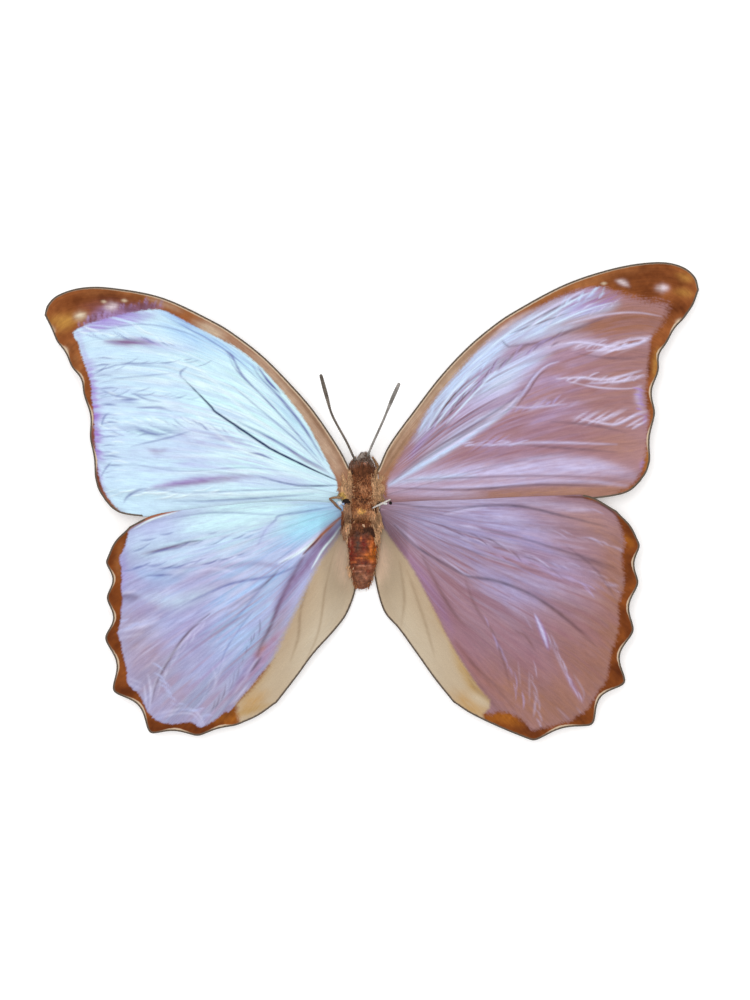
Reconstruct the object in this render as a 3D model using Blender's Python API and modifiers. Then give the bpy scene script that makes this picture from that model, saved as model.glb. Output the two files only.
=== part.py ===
"""A dried, spread morpho butterfly that lies on its folded legs, back uppermost.

The origin is the middle of the flat patch under the thorax that the insect rests on. +Y runs
from the tail to the head, +X to the insect's right wings, and +Z up. Lengths are in metres, and
the outlines are given in millimetres. The left and right wings have outlines of their own,
because the specimen was not set quite evenly.
"""

import math

import bmesh
import bpy
import numpy as np
from mathutils import Matrix, Vector

MM = 0.001

# Heights of the spread wings, in millimetres
WING_THICKNESS = 0.3
ROOT_HEIGHT = 5.0
ROOT_HALF_GAP = 3.0
RISE_PER_MM = 0.10
DROOP_PER_CUBIC_MM = 8.0e-6
PLEAT_HEIGHT = 0.14
OVERLAP_LIFT = 0.42
OVERLAP_SHARE = 0.22

# The anal field of a hind wing, tucked down under the abdomen
TUCK_DEPTH = 3.9
TUCK_OUTER_X = 9.0
TUCK_INNER_X = 2.5
TUCK_STATIONS_Y = [-42.0, -26.0, -17.0, -7.0, -4.5, -2.0]
TUCK_SHARES = [0.0, 0.45, 1.0, 1.0, 0.55, 0.0]

# Rows from the root to the outer margin, and columns in each scallop of that margin
WING_ROWS = 15
COLUMNS_PER_SCALLOP = 3

# Body: centres and half sizes. Lean slants a form forwards as it rises, and squareness above 2 fills its corners
THORAX_CENTRE = (0.0, 0.85, 3.1)
THORAX_HALF = (3.5, 5.55, 3.4)
THORAX_LEAN = 0.274
THORAX_SQUARENESS = 2.8
HEAD_CENTRE = (-0.1, 8.0, 3.6)
HEAD_HALF = (1.7, 1.25, 1.65)
EYE_OFFSET = (1.35, 0.15, 0.15)
EYE_HALF = (0.75, 0.95, 1.05)
SOCKET_CLEARANCE = 0.15

ABDOMEN_START = (-0.5, -4.6, 4.4)
ABDOMEN_LENGTH = 13.2
ABDOMEN_DROOP_DEG = 2.0
ABDOMEN_FLATTENING = 0.84
ABDOMEN_RADIUS = 3.0
ABDOMEN_TAIL_RADIUS = 1.55
ABDOMEN_TAIL_SHARE = 0.28
ABDOMEN_RINGS = 8
STEPS_PER_RING = 3
RING_LEDGE = 0.10
ABDOMEN_SIDES = 20

# Every wing edge runs from the body outwards, and the outer margin from the front to the back.
# A margin point is where a vein ends, and the third number is how deep the notch after it is.
FORE_LEFT = {
    "root": [(-2.75, 6.1), (-3.7, 1.0)],
    "front": [(-5.0, 10.4), (-10.0, 17.8), (-15.0, 23.5), (-20.0, 28.5), (-25.0, 32.4), (-30.0, 35.5),
              (-40.0, 40.1), (-50.0, 42.0), (-56.0, 42.0), (-60.5, 40.6), (-62.6, 38.6)],
    "margin": [(-63.2, 36.6, 0.1), (-60.8, 31.4, 0.35), (-57.9, 26.4, 0.75), (-55.4, 20.8, 0.7),
               (-54.2, 12.2, 0.3), (-53.2, 4.4, -0.35), (-51.2, -0.1, 0.0)],
    "back": [(-5.6, -0.9), (-12.0, -1.7), (-25.0, -2.6), (-36.0, -3.4), (-43.0, -3.3), (-47.4, -2.8),
             (-49.6, -1.8)],
}
FORE_RIGHT = {
    "root": [(2.75, 6.1), (3.7, 1.0)],
    "front": [(5.0, 11.0), (10.0, 17.9), (15.0, 24.4), (20.0, 29.8), (25.0, 34.1), (30.0, 37.5),
              (40.0, 42.8), (50.0, 46.0), (58.0, 47.1), (62.8, 46.3), (65.5, 44.2)],
    "margin": [(66.3, 41.6, -0.35), (63.5, 36.1, 0.35), (60.0, 31.3, 0.8), (58.3, 25.6, 1.05),
               (57.6, 17.1, 0.6), (56.6, 7.6, -0.3), (54.6, 3.6, 0.0)],
    "back": [(5.6, -0.9), (12.0, -1.3), (25.0, -1.0), (36.0, -0.6), (43.0, 0.0), (49.5, 0.8),
             (52.6, 1.8)],
}
HIND_LEFT = {
    "root": [(-3.4, -1.5), (-3.1, -4.6)],
    "front": [(-7.0, -0.5), (-12.0, -0.2), (-20.0, -0.4), (-30.0, -1.3), (-37.0, -2.1), (-42.0, -3.1)],
    "margin": [(-46.3, -5.2, -0.7), (-51.1, -12.1, 1.3), (-50.9, -19.3, 1.5), (-51.3, -27.3, 1.6),
               (-49.8, -37.8, 2.0), (-42.4, -46.3, 0.8), (-32.8, -46.8, 0.35), (-25.0, -44.6, -0.4),
               (-17.3, -40.2, 0.0)],
    "back": [(-2.2, -8.0), (-1.7, -12.0), (-1.5, -17.0), (-3.1, -22.0), (-5.4, -25.4), (-9.9, -30.4),
             (-13.2, -34.9)],
}
HIND_RIGHT = {
    "root": [(3.4, -1.5), (3.1, -4.6)],
    "front": [(7.0, -0.4), (13.0, -0.1), (21.0, 0.1), (30.0, 0.6), (39.0, 0.9), (44.5, 0.8)],
    "margin": [(49.9, -2.1, -0.6), (54.6, -8.8, 1.0), (54.3, -16.4, 1.4), (53.4, -25.8, 2.0),
               (51.8, -36.2, 2.2), (45.3, -44.6, 1.0), (33.6, -47.8, -0.1), (24.0, -43.8, -0.2),
               (17.7, -40.1, 0.0)],
    "back": [(2.2, -8.0), (1.8, -12.0), (2.4, -17.0), (4.0, -22.2), (6.9, -25.6), (10.3, -30.3),
             (14.0, -35.5)],
}

# Antennae: from the head to the tip, in millimetres, with a club at the end
ANTENNA_LEFT = [(-1.75, 8.0, 5.0), (-2.25, 8.9, 5.4), (-3.45, 11.5, 6.4), (-6.2, 16.6, 8.0), (-7.3, 20.2, 8.9),
                (-8.5, 24.6, 9.55)]
ANTENNA_RIGHT = [(0.75, 8.75, 4.95), (1.65, 11.0, 6.1), (3.7, 15.5, 7.8), (5.5, 19.8, 9.0), (6.9, 22.9, 9.55)]
ANTENNA_RADIUS = 0.22
CLUB_RADIUS = 0.38
CLUB_STARTS_AT = 0.62
ANTENNA_POINTS = 16

# Legs: the way of a right leg's middle line, and its radius at each of those points
FORE_LEG = [(2.6, 5.3, 1.7, 0.26), (2.7, 6.6, 1.4, 0.26), (2.2, 7.7, 1.1, 0.22), (1.7, 8.5, 1.0, 0.16)]
MID_LEG = [(3.5, 2.4, 0.95, 0.36), (4.7, 3.4, 1.8, 0.42), (6.6, 4.4, 2.2, 0.34), (7.7, 2.3, 1.4, 0.27),
           (8.6, -0.2, 0.5, 0.24), (8.4, -2.4, 0.2, 0.2), (7.9, -4.6, 0.18, 0.18)]
HIND_LEG = [(3.3, -1.9, 0.95, 0.36), (4.5, -3.0, 1.7, 0.42), (6.2, -4.4, 2.0, 0.34), (6.6, -7.0, 1.2, 0.27),
            (6.9, -9.6, 0.5, 0.24), (6.4, -11.6, 0.2, 0.2), (5.8, -13.8, 0.18, 0.18)]

PALP_START = (0.42, 8.2, 1.33)
PALP_END = (0.34, 9.2, 2.33)
PALP_RADIUS = 0.28
PALP_POINTS = 7
COIL_CENTRE = (-0.1, 8.8, 0.8)
COIL_RADIUS = 0.62
COIL_TURNS = 1.75
COIL_TIGHTENS_BY = 0.62
COIL_POINTS = 27
COIL_WIRE_RADIUS = 0.12

# Colours as linear RGB, with roughness
FINISHES = {
    "pearl_blue": ((0.60, 0.83, 0.95), 0.35),
    "pearl_lilac": ((0.42, 0.28, 0.32), 0.35),
    "brown_fur": ((0.20, 0.085, 0.03), 0.9),
    "chestnut_shell": ((0.25, 0.05, 0.015), 0.4),
    "dark_eye": ((0.03, 0.015, 0.01), 0.2),
    "grey_brown_horn": ((0.15, 0.11, 0.08), 0.6),
    "tan_scales": ((0.36, 0.22, 0.12), 0.8),
}


def clear_scene():
    for obj in list(bpy.data.objects):
        bpy.data.objects.remove(obj, do_unlink=True)


def new_collection(name, hidden=False):
    collection = bpy.data.collections.new(name)
    collection.hide_render = hidden
    bpy.context.scene.collection.children.link(collection)
    return collection


def finish(name):
    """A plain material of one of the named finishes, made once."""
    if name in bpy.data.materials:
        return bpy.data.materials[name]
    colour, roughness = FINISHES[name]
    material = bpy.data.materials.new(name)
    material.use_nodes = True
    surface = material.node_tree.nodes["Principled BSDF"]
    surface.inputs["Base Color"].default_value = (*colour, 1.0)
    surface.inputs["Roughness"].default_value = roughness
    return material


def place(name, data, material, collection):
    obj = bpy.data.objects.new(name, data)
    obj.data.materials.append(finish(material))
    collection.objects.link(obj)
    return obj


def smooth_curve(points, count):
    """A Catmull-Rom curve through the points, read at `count` evenly spaced places along its length."""
    knots = np.array(points, float)
    ends = np.vstack([2 * knots[0] - knots[1], knots, 2 * knots[-1] - knots[-2]])
    t = np.linspace(0, 1, 12, endpoint=False)[:, None]
    spans = []
    for before, start, stop, after in zip(ends, ends[1:], ends[2:], ends[3:]):
        spans.append(0.5 * (2 * start + (stop - before) * t
                            + (2 * before - 5 * start + 4 * stop - after) * t ** 2
                            + (3 * start - before - 3 * stop + after) * t ** 3))
    dense = np.vstack([*spans, knots[-1:]])
    length = np.concatenate([[0], np.cumsum(np.linalg.norm(np.diff(dense, axis=0), axis=1))])
    wanted = np.linspace(0, length[-1], count)
    return np.stack([np.interp(wanted, length, dense[:, axis]) for axis in range(dense.shape[1])], axis=1)


def scalloped_margin(margin, inside):
    """The outer margin: from each vein end to the next, a chord that dips inwards by the notch's depth."""
    found = []
    for (x0, y0, depth), (x1, y1, _) in zip(margin, margin[1:]):
        start, stop = np.array([x0, y0]), np.array([x1, y1])
        chord = stop - start
        inward = np.array([-chord[1], chord[0]]) / np.linalg.norm(chord)
        if np.dot(inward, inside - start) < 0:
            inward = -inward
        for step in range(COLUMNS_PER_SCALLOP):
            t = step / COLUMNS_PER_SCALLOP
            found.append(start + chord * t + inward * depth * math.sin(math.pi * t) ** 1.6)
    found.append(np.array(margin[-1][:2]))
    return np.array(found)


def deck_height(x, y):
    """The height of the spread wings over a point: they rise from the root and droop to the tips."""
    reach = np.hypot(x, y)
    return ROOT_HEIGHT + RISE_PER_MM * (np.abs(x) - ROOT_HALF_GAP) - DROOP_PER_CUBIC_MM * reach ** 3


def tuck(x, y):
    """How far the hind wing is let down beside and under the abdomen."""
    near = np.clip((TUCK_OUTER_X - np.abs(x)) / (TUCK_OUTER_X - TUCK_INNER_X), 0, 1)
    share = np.interp(y, TUCK_STATIONS_Y, TUCK_SHARES)
    return TUCK_DEPTH * share * near ** 2 * (3 - 2 * near)


def wing_surface(outline, is_hind):
    """Rows and columns of points on a wing's middle surface, blended between its four edges."""
    inside = np.mean([edge[:2] for edge in outline["margin"]], axis=0) * 0.5
    margin = scalloped_margin(outline["margin"], inside)
    along = np.concatenate([[0], np.cumsum(np.linalg.norm(np.diff(margin, axis=0), axis=1))])
    across = (along / along[-1])[:, None, None]
    outwards = np.linspace(0, 1, WING_ROWS)[None, :, None]
    root_front, root_back = (np.array(corner) for corner in outline["root"])
    front = smooth_curve([root_front, *outline["front"], margin[0]], WING_ROWS)[None]
    back = smooth_curve([root_back, *outline["back"], margin[-1]], WING_ROWS)[None]
    root = root_front + (root_back - root_front) * across
    corners = ((1 - across) * (1 - outwards) * root_front + across * (1 - outwards) * root_back
               + (1 - across) * outwards * margin[0] + across * outwards * margin[-1])
    plan = ((1 - across) * front + across * back
            + (1 - outwards) * root + outwards * margin[:, None, :] - corners)
    x, y = plan[..., 0], plan[..., 1]
    height = deck_height(x, y)
    column = np.arange(len(margin))[:, None]
    height = height + PLEAT_HEIGHT * outwards[..., 0] * np.cos(2 * math.pi * column / COLUMNS_PER_SCALLOP)
    if is_hind:
        front_strip = np.clip(1 - across[..., 0] / OVERLAP_SHARE, 0, 1)
        height = height + OVERLAP_LIFT * np.sqrt(front_strip) - tuck(x, y)
    else:
        back_strip = np.clip(1 - (1 - across[..., 0]) / OVERLAP_SHARE, 0, 1)
        height = height - OVERLAP_LIFT * np.sqrt(back_strip)
    return np.stack([x, y, height], axis=-1)


def make_wing(name, outline, is_hind, material, collection):
    """One wing: a plane grid bent to the wing's surface, then given its thickness."""
    surface = wing_surface(outline, is_hind)
    columns, rows = surface.shape[0] - 1, surface.shape[1] - 1
    shape = bmesh.new()
    bmesh.ops.create_grid(shape, x_segments=columns, y_segments=rows, size=1)
    for vertex in shape.verts:
        column = round((vertex.co.x + 1) / 2 * columns)
        row = round((vertex.co.y + 1) / 2 * rows)
        vertex.co = Vector(surface[column, row]) * MM
    bmesh.ops.triangulate(shape, faces=shape.faces)
    mesh = bpy.data.meshes.new(name)
    shape.to_mesh(mesh)
    shape.free()
    wing = place(name, mesh, material, collection)
    thickness = wing.modifiers.new("thickness", "SOLIDIFY")
    thickness.thickness = WING_THICKNESS * MM
    thickness.offset = 0
    return wing


def ellipsoid(name, centre, half, segments, rings, material, collection, squareness=2.0, lean=0.0):
    """A ball with its poles fore and aft. Squareness above 2 fills its corners, and lean slants it forwards."""
    shape = bmesh.new()
    bmesh.ops.create_uvsphere(shape, u_segments=segments, v_segments=rings, radius=1)
    bmesh.ops.rotate(shape, matrix=Matrix.Rotation(math.pi / 2, 3, "X"), verts=shape.verts)
    for vertex in shape.verts:
        fill = sum(abs(value) ** squareness for value in vertex.co) ** (-1 / squareness)
        x, y, z = (value * fill * size for value, size in zip(vertex.co, half))
        vertex.co = (Vector(centre) + Vector((x, y + lean * z, z))) * MM
    mesh = bpy.data.meshes.new(name)
    shape.to_mesh(mesh)
    shape.free()
    mesh.shade_smooth()
    return place(name, mesh, material, collection)


def flatten_below(obj, height):
    """Cuts the mesh off at this height in millimetres and closes it with one flat face."""
    shape = bmesh.new()
    shape.from_mesh(obj.data)
    everything = [*shape.verts, *shape.edges, *shape.faces]
    cut = bmesh.ops.bisect_plane(shape, geom=everything, plane_co=(0, 0, height * MM),
                                 plane_no=(0, 0, -1), clear_outer=True)
    rim = [part for part in cut["geom_cut"] if isinstance(part, bmesh.types.BMEdge)]
    bmesh.ops.contextual_create(shape, geom=rim)
    shape.to_mesh(obj.data)
    shape.free()


def make_thorax(collection):
    """The furry thorax, dried flat where it rests."""
    thorax = ellipsoid("thorax", THORAX_CENTRE, THORAX_HALF, 22, 16, "brown_fur", collection,
                       THORAX_SQUARENESS, THORAX_LEAN)
    flatten_below(thorax, 0.0)


def make_head(collection, cutters):
    """The head, hollowed on each side for an eye, and the two eyes in those sockets."""
    head = ellipsoid("head", HEAD_CENTRE, HEAD_HALF, 20, 14, "brown_fur", collection)
    for side, word in ((-1, "left"), (1, "right")):
        centre = [HEAD_CENTRE[0] + side * EYE_OFFSET[0], HEAD_CENTRE[1] + EYE_OFFSET[1],
                  HEAD_CENTRE[2] + EYE_OFFSET[2]]
        ellipsoid(f"eye_{word}", centre, EYE_HALF, 14, 10, "dark_eye", collection)
        wide = [half + SOCKET_CLEARANCE for half in EYE_HALF]
        cutter = ellipsoid(f"socket_{word}_cutter", centre, wide, 14, 10, "dark_eye", cutters)
        cutter.display_type = "WIRE"
        cutter.hide_render = True
        socket = head.modifiers.new(f"socket_{word}", "BOOLEAN")
        socket.operation = "DIFFERENCE"
        socket.object = cutter


def abdomen_radius(t):
    """Half the abdomen's width at a share t of its length: a blunt front, a full middle and a slim tail."""
    if t in (0, 1):
        return 0.0
    barrel = ABDOMEN_RADIUS * math.sin(math.pi * min(t + 0.16, 1) ** 0.85) ** 0.45
    into_tail = max(t - (1 - ABDOMEN_TAIL_SHARE), 0) / ABDOMEN_TAIL_SHARE
    return max(barrel, ABDOMEN_TAIL_RADIUS * math.sqrt(1 - into_tail ** 2))


def make_abdomen(collection):
    """The abdomen: a turned profile with a small ledge at each ring, flattened a little and drooping."""
    count = ABDOMEN_RINGS * STEPS_PER_RING
    profile = []
    for step in range(count + 1):
        t = step / count
        ledge = RING_LEDGE * (step % STEPS_PER_RING) / (STEPS_PER_RING - 1) if 0 < step < count else 0
        profile.append(((abdomen_radius(t) + ledge) * MM, 0, -t * ABDOMEN_LENGTH * MM))
    mesh = bpy.data.meshes.new("abdomen")
    mesh.from_pydata(profile, [(i, i + 1) for i in range(count)], [])
    abdomen = place("abdomen", mesh, "chestnut_shell", collection)
    turned = abdomen.modifiers.new("turned", "SCREW")
    turned.steps = turned.render_steps = ABDOMEN_SIDES
    turned.use_merge_vertices = True
    turned.merge_threshold = 1e-5
    turned.use_smooth_shade = True
    abdomen.location = Vector(ABDOMEN_START) * MM
    abdomen.rotation_euler = (math.radians(ABDOMEN_DROOP_DEG - 90), 0, 0)
    abdomen.scale = (1, ABDOMEN_FLATTENING, 1)


def make_tube(name, points, radii, material, collection):
    """A round limb along a line of points in millimetres, with a radius at each point and closed ends."""
    curve = bpy.data.curves.new(name, "CURVE")
    curve.dimensions = "3D"
    curve.bevel_depth = MM
    curve.bevel_resolution = 1
    curve.use_fill_caps = True
    line = curve.splines.new("POLY")
    line.points.add(len(points) - 1)
    for point, place_mm, radius in zip(line.points, points, radii):
        point.co = (*(float(value) * MM for value in place_mm), 1)
        point.radius = float(radius)
    return place(name, curve, material, collection)


def make_antenna(name, way, collection):
    """A thread-thin antenna that swells to a slim club in its last third."""
    into_club = np.maximum(0, (np.linspace(0, 1, ANTENNA_POINTS) - CLUB_STARTS_AT) / (1 - CLUB_STARTS_AT))
    radii = ANTENNA_RADIUS + (CLUB_RADIUS - ANTENNA_RADIUS) * np.sin(0.8 * math.pi * into_club)
    make_tube(name, smooth_curve(way, ANTENNA_POINTS), radii, "grey_brown_horn", collection)


def make_leg(name, way, side, collection):
    """One folded leg. The way is a right leg's, with a radius as the fourth number of each point."""
    fine = smooth_curve(way, 2 * len(way) + 2)
    make_tube(name, fine[:, :3] * (side, 1, 1), fine[:, 3], "tan_scales", collection)


def make_palp(name, side, collection):
    """One of the two blunt feelers that curve up in front of the face."""
    start, end = ((side * x + HEAD_CENTRE[0], y, z) for x, y, z in (PALP_START, PALP_END))
    along = np.linspace(0, 1, PALP_POINTS)
    points = np.outer(1 - along, start) + np.outer(along, end)
    radii = PALP_RADIUS * (0.45 + 0.55 * np.sin(math.pi * np.minimum(0.2 + 0.8 * along, 0.93)))
    make_tube(name, points, radii, "brown_fur", collection)


def make_proboscis(collection):
    """The tongue, rolled up like a watch spring under the palps."""
    along = np.linspace(0, 1, COIL_POINTS)
    angle = math.pi * (2 * COIL_TURNS * along + 0.5)
    radius = COIL_RADIUS * (1 - COIL_TIGHTENS_BY * along)
    points = COIL_CENTRE + np.stack([0 * angle, radius * np.cos(angle), radius * np.sin(angle)], axis=1)
    make_tube("proboscis", points, [COIL_WIRE_RADIUS] * COIL_POINTS, "grey_brown_horn", collection)


def main():
    clear_scene()
    butterfly = new_collection("spread_butterfly")
    cutters = new_collection("cutters", hidden=True)
    make_wing("forewing_left", FORE_LEFT, False, "pearl_blue", butterfly)
    make_wing("forewing_right", FORE_RIGHT, False, "pearl_lilac", butterfly)
    make_wing("hindwing_left", HIND_LEFT, True, "pearl_blue", butterfly)
    make_wing("hindwing_right", HIND_RIGHT, True, "pearl_lilac", butterfly)
    make_thorax(butterfly)
    make_head(butterfly, cutters)
    make_abdomen(butterfly)
    make_antenna("antenna_left", ANTENNA_LEFT, butterfly)
    make_antenna("antenna_right", ANTENNA_RIGHT, butterfly)
    make_proboscis(butterfly)
    for side, word in ((-1, "left"), (1, "right")):
        make_leg(f"foreleg_{word}", FORE_LEG, side, butterfly)
        make_leg(f"middle_leg_{word}", MID_LEG, side, butterfly)
        make_leg(f"hind_leg_{word}", HIND_LEG, side, butterfly)
        make_palp(f"palp_{word}", side, butterfly)


main()
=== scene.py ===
"""The looks of a dried morpho butterfly with its wings spread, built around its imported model.

+Y runs from the tail to the head, +X to the insect's right wings, and +Z up. The sizes below are in
millimetres, the unit of every point list here, and a mesh is turned into metres when it is made.
"""

import math

import bpy
import numpy as np
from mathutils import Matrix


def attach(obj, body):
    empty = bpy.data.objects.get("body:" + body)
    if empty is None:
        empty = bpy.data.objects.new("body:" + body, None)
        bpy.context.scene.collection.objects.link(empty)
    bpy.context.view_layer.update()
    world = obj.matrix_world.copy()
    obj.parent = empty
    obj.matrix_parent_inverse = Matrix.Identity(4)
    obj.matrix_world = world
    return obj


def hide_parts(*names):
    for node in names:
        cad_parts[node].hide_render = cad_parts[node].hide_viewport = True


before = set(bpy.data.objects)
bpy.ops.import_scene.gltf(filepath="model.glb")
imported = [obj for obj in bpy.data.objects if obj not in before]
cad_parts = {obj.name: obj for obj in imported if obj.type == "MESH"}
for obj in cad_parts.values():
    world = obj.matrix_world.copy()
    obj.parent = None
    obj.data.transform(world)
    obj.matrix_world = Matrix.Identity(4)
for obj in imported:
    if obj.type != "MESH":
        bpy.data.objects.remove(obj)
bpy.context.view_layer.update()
MM = 0.001

# The insect lies on a plain white table, lit by a pale room and one soft lamp overhead, and is seen
# from straight above. The picture is 197.9 mm high at the level of the wings.
PICTURE_HEIGHT = 197.9
PICTURE_CENTRE_X = 2.18
WING_LEVEL = 7.5
LENS = 200.0
SENSOR = 36.0
ROOM_BRIGHTNESS = 0.8
LAMP_PLACE = (-90.0, 120.0, 1500.0)
LAMP_SIZE = 520.0
LAMP_WATTS = 9.5
# How bright a white surface that faces up comes out, and the light that the table adds itself
LIGHT_LEVEL = 1.28
TABLE_GLOW = 0.22
TABLE_HALF = 1500.0

camera_data = bpy.data.cameras.new("camera")
camera_data.lens = LENS
camera_data.sensor_width = SENSOR
camera_data.clip_start = 0.05
camera_data.clip_end = 20.0
camera = bpy.data.objects.new("camera", camera_data)
camera.location = np.array((PICTURE_CENTRE_X, 0.0, WING_LEVEL + PICTURE_HEIGHT * LENS / SENSOR)) * MM
bpy.context.scene.collection.objects.link(camera)
bpy.context.scene.camera = camera
bpy.context.scene.view_settings.view_transform = "Standard"

room = bpy.data.worlds.new("pale_room")
room.use_nodes = True
room.node_tree.nodes["Background"].inputs["Color"].default_value = (1.0, 1.0, 1.0, 1.0)
room.node_tree.nodes["Background"].inputs["Strength"].default_value = ROOM_BRIGHTNESS
bpy.context.scene.world = room

lamp_data = bpy.data.lights.new("soft_lamp", "AREA")
lamp_data.size = LAMP_SIZE * MM
lamp_data.energy = LAMP_WATTS
lamp = bpy.data.objects.new("soft_lamp", lamp_data)
lamp.location = np.array(LAMP_PLACE) * MM
lamp.rotation_euler = (-lamp.location).to_track_quat("-Z", "Y").to_euler()
lamp.visible_camera = False
bpy.context.scene.collection.objects.link(lamp)


# The thorax is a hard barrel that holds the wings and legs. It was built furry all over, and the hairs
# have matted into brown and golden locks. The skin here lies a little under the locks' tips.
THORAX_CENTRE = (0.0, 0.85, 3.1)
THORAX_HALF = (3.5, 5.55, 3.4)
THORAX_LEAN = 0.274
THORAX_SQUARENESS = 2.8
FUR_DEPTH = 0.5
REST_GAP = 0.03
# A lock of hair is three rings of three points and a tip
LOCK_POINTS = 10


def seen(*levels):
    """The surface colour that comes out as this screen colour, 0 to 255 a channel. As linear light that
    is value / 12.92 up to 0.04045, and above it (value + 0.055) / 1.055 to the power 2.4, and the
    surface's colour is the light over the light level."""
    value = np.array(levels, float) / 255
    return np.where(value <= 0.04045, value / 12.92, ((value + 0.055) / 1.055) ** 2.4) / LIGHT_LEVEL


class Wire:
    """One output of a shader node. Arithmetic on wires and numbers adds Math nodes that work it out."""

    def __init__(self, finish, socket):
        self.finish = finish
        self.socket = socket

    def math(self, operation, *values):
        return self.finish.node("ShaderNodeMath", {"operation": operation}, dict(enumerate(values)))

    def __add__(self, other):
        return self.math("ADD", self, other)

    def __radd__(self, other):
        return self.math("ADD", other, self)

    def __sub__(self, other):
        return self.math("SUBTRACT", self, other)

    def __rsub__(self, other):
        return self.math("SUBTRACT", other, self)

    def __mul__(self, other):
        return self.math("MULTIPLY", self, other)

    def __rmul__(self, other):
        return self.math("MULTIPLY", other, self)

    def rise(self, low, high):
        """0 below low, 1 above high, and a smooth step between them."""
        return self.finish.node("ShaderNodeMapRange", {"interpolation_type": "SMOOTHSTEP"},
                                {"Value": self, "From Min": low, "From Max": high})


class Finish:
    """A material while it is being made: its nodes are added one at a time, and end in its shader."""

    def __init__(self, name, specular):
        self.material = bpy.data.materials.new(name)
        self.material.use_nodes = True
        self.tree = self.material.node_tree
        self.shader = self.tree.nodes["Principled BSDF"]
        self.shader.inputs["Specular IOR Level"].default_value = specular

    def plug(self, made, inputs):
        for name, value in inputs.items():
            if isinstance(value, Wire):
                self.tree.links.new(value.socket, made.inputs[name])
            elif made.inputs[name].type == "RGBA":
                made.inputs[name].default_value = (*value, 1.0)
            else:
                made.inputs[name].default_value = value

    def node(self, kind, settings, inputs, output=0):
        """Adds a node of this type, sets its settings and then its sockets, and returns one output."""
        made = self.tree.nodes.new(kind)
        for name, value in settings.items():
            setattr(made, name, value)
        self.plug(made, inputs)
        return Wire(self, made.outputs[output])

    def attribute(self, name, output="Fac"):
        return self.node("ShaderNodeAttribute", {"attribute_name": name}, {}, output)

    def parts(self, vector):
        """The three numbers of a vector."""
        split = self.node("ShaderNodeSeparateXYZ", {}, {0: vector})
        return [Wire(self, output) for output in split.socket.node.outputs]

    def place(self, stretch=(1.0, 1.0, 1.0)):
        """The place on the object in millimetres, with each axis multiplied by its stretch."""
        at = self.node("ShaderNodeTexCoord", {}, {}, "Object")
        scale = np.array(stretch) / MM
        return self.node("ShaderNodeVectorMath", {"operation": "MULTIPLY"}, {0: at, 1: tuple(scale)})

    def noise(self, vector, scale, detail=3.0, roughness=0.55):
        return self.node("ShaderNodeTexNoise", {}, {"Vector": vector, "Scale": scale, "Detail": detail,
                                                    "Roughness": roughness})

    def mix(self, share, first, second, blend="MIX"):
        return self.node("ShaderNodeMix", {"data_type": "RGBA", "blend_type": blend, "clamp_factor": True},
                         {0: share, 6: first, 7: second}, 2)

    def bump(self, height, depth_mm, strength=1.0):
        return self.node("ShaderNodeBump", {}, {"Height": height, "Distance": depth_mm * MM,
                                                "Strength": strength})

    def surface(self, **inputs):
        """Sets the shader's sockets, named in lower case with underscores, and returns the material."""
        self.plug(self.shader, {name.replace("_", " ").title(): value for name, value in inputs.items()})
        return self.material


def outward(points, faces):
    """The faces, turned round if the volume that they enclose comes out negative."""
    a, b, c = (points[faces[:, corner]] for corner in range(3))
    volume = np.einsum("ij,ij->", a, np.cross(b, c))
    return faces if volume > 0 else faces[:, ::-1]


def piece(name, points, faces, material, slot, replaced=(), paints=None):
    """A finished piece from points in millimetres and triangles, riding on the body. The paints are
    colours or vectors for each point, which the material reads by their names."""
    mesh = bpy.data.meshes.new(name)
    mesh.vertices.add(len(points))
    mesh.vertices.foreach_set("co", (points * MM).astype(np.float32).ravel())
    mesh.loops.add(faces.size)
    mesh.loops.foreach_set("vertex_index", faces.astype(np.int32).ravel())
    mesh.polygons.add(len(faces))
    mesh.polygons.foreach_set("loop_start", np.arange(0, faces.size, 3, dtype=np.int32))
    mesh.update(calc_edges=True)
    mesh.shade_smooth()
    for paint, values in (paints or {}).items():
        layer = mesh.attributes.new(paint, "FLOAT_VECTOR", "POINT")
        layer.data.foreach_set("vector", values.astype(np.float32).ravel())
    mesh.materials.append(material)
    obj = bpy.data.objects.new(name, mesh)
    bpy.context.scene.collection.objects.link(obj)
    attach(obj, "root")
    if replaced:
        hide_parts(*replaced)
    return obj


def merged(*parts):
    """Several skins as one: their points in a row, with each skin's faces counted on from the points
    before it."""
    begins = np.cumsum([0] + [len(points) for points, _ in parts])
    return (np.vstack([points for points, _ in parts]),
            np.vstack([faces + begin for (_, faces), begin in zip(parts, begins)]))


def ringed(rings, first_pole, last_pole):
    """A closed skin: rings of points joined to their neighbours, and shut by a pole at each end.
    Point (r, s) is joined to (r, s + 1) and (r + 1, s), counting s round and round."""
    count, sides = rings.shape[:2]
    index = np.arange(count * sides).reshape(count, sides)
    beside = np.roll(index, -1, axis=1)
    quads = np.stack([index[:-1], beside[:-1], beside[1:], index[1:]], axis=-1).reshape(-1, 4)
    first, last = count * sides, count * sides + 1
    start = np.stack([np.full(sides, first), beside[0], index[0]], axis=1)
    end = np.stack([np.full(sides, last), index[-1], beside[-1]], axis=1)
    points = np.vstack([rings.reshape(-1, 3), first_pole, last_pole])
    faces = np.vstack([quads[:, [0, 1, 2]], quads[:, [0, 2, 3]], start, end])
    return points, outward(points, faces)


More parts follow.
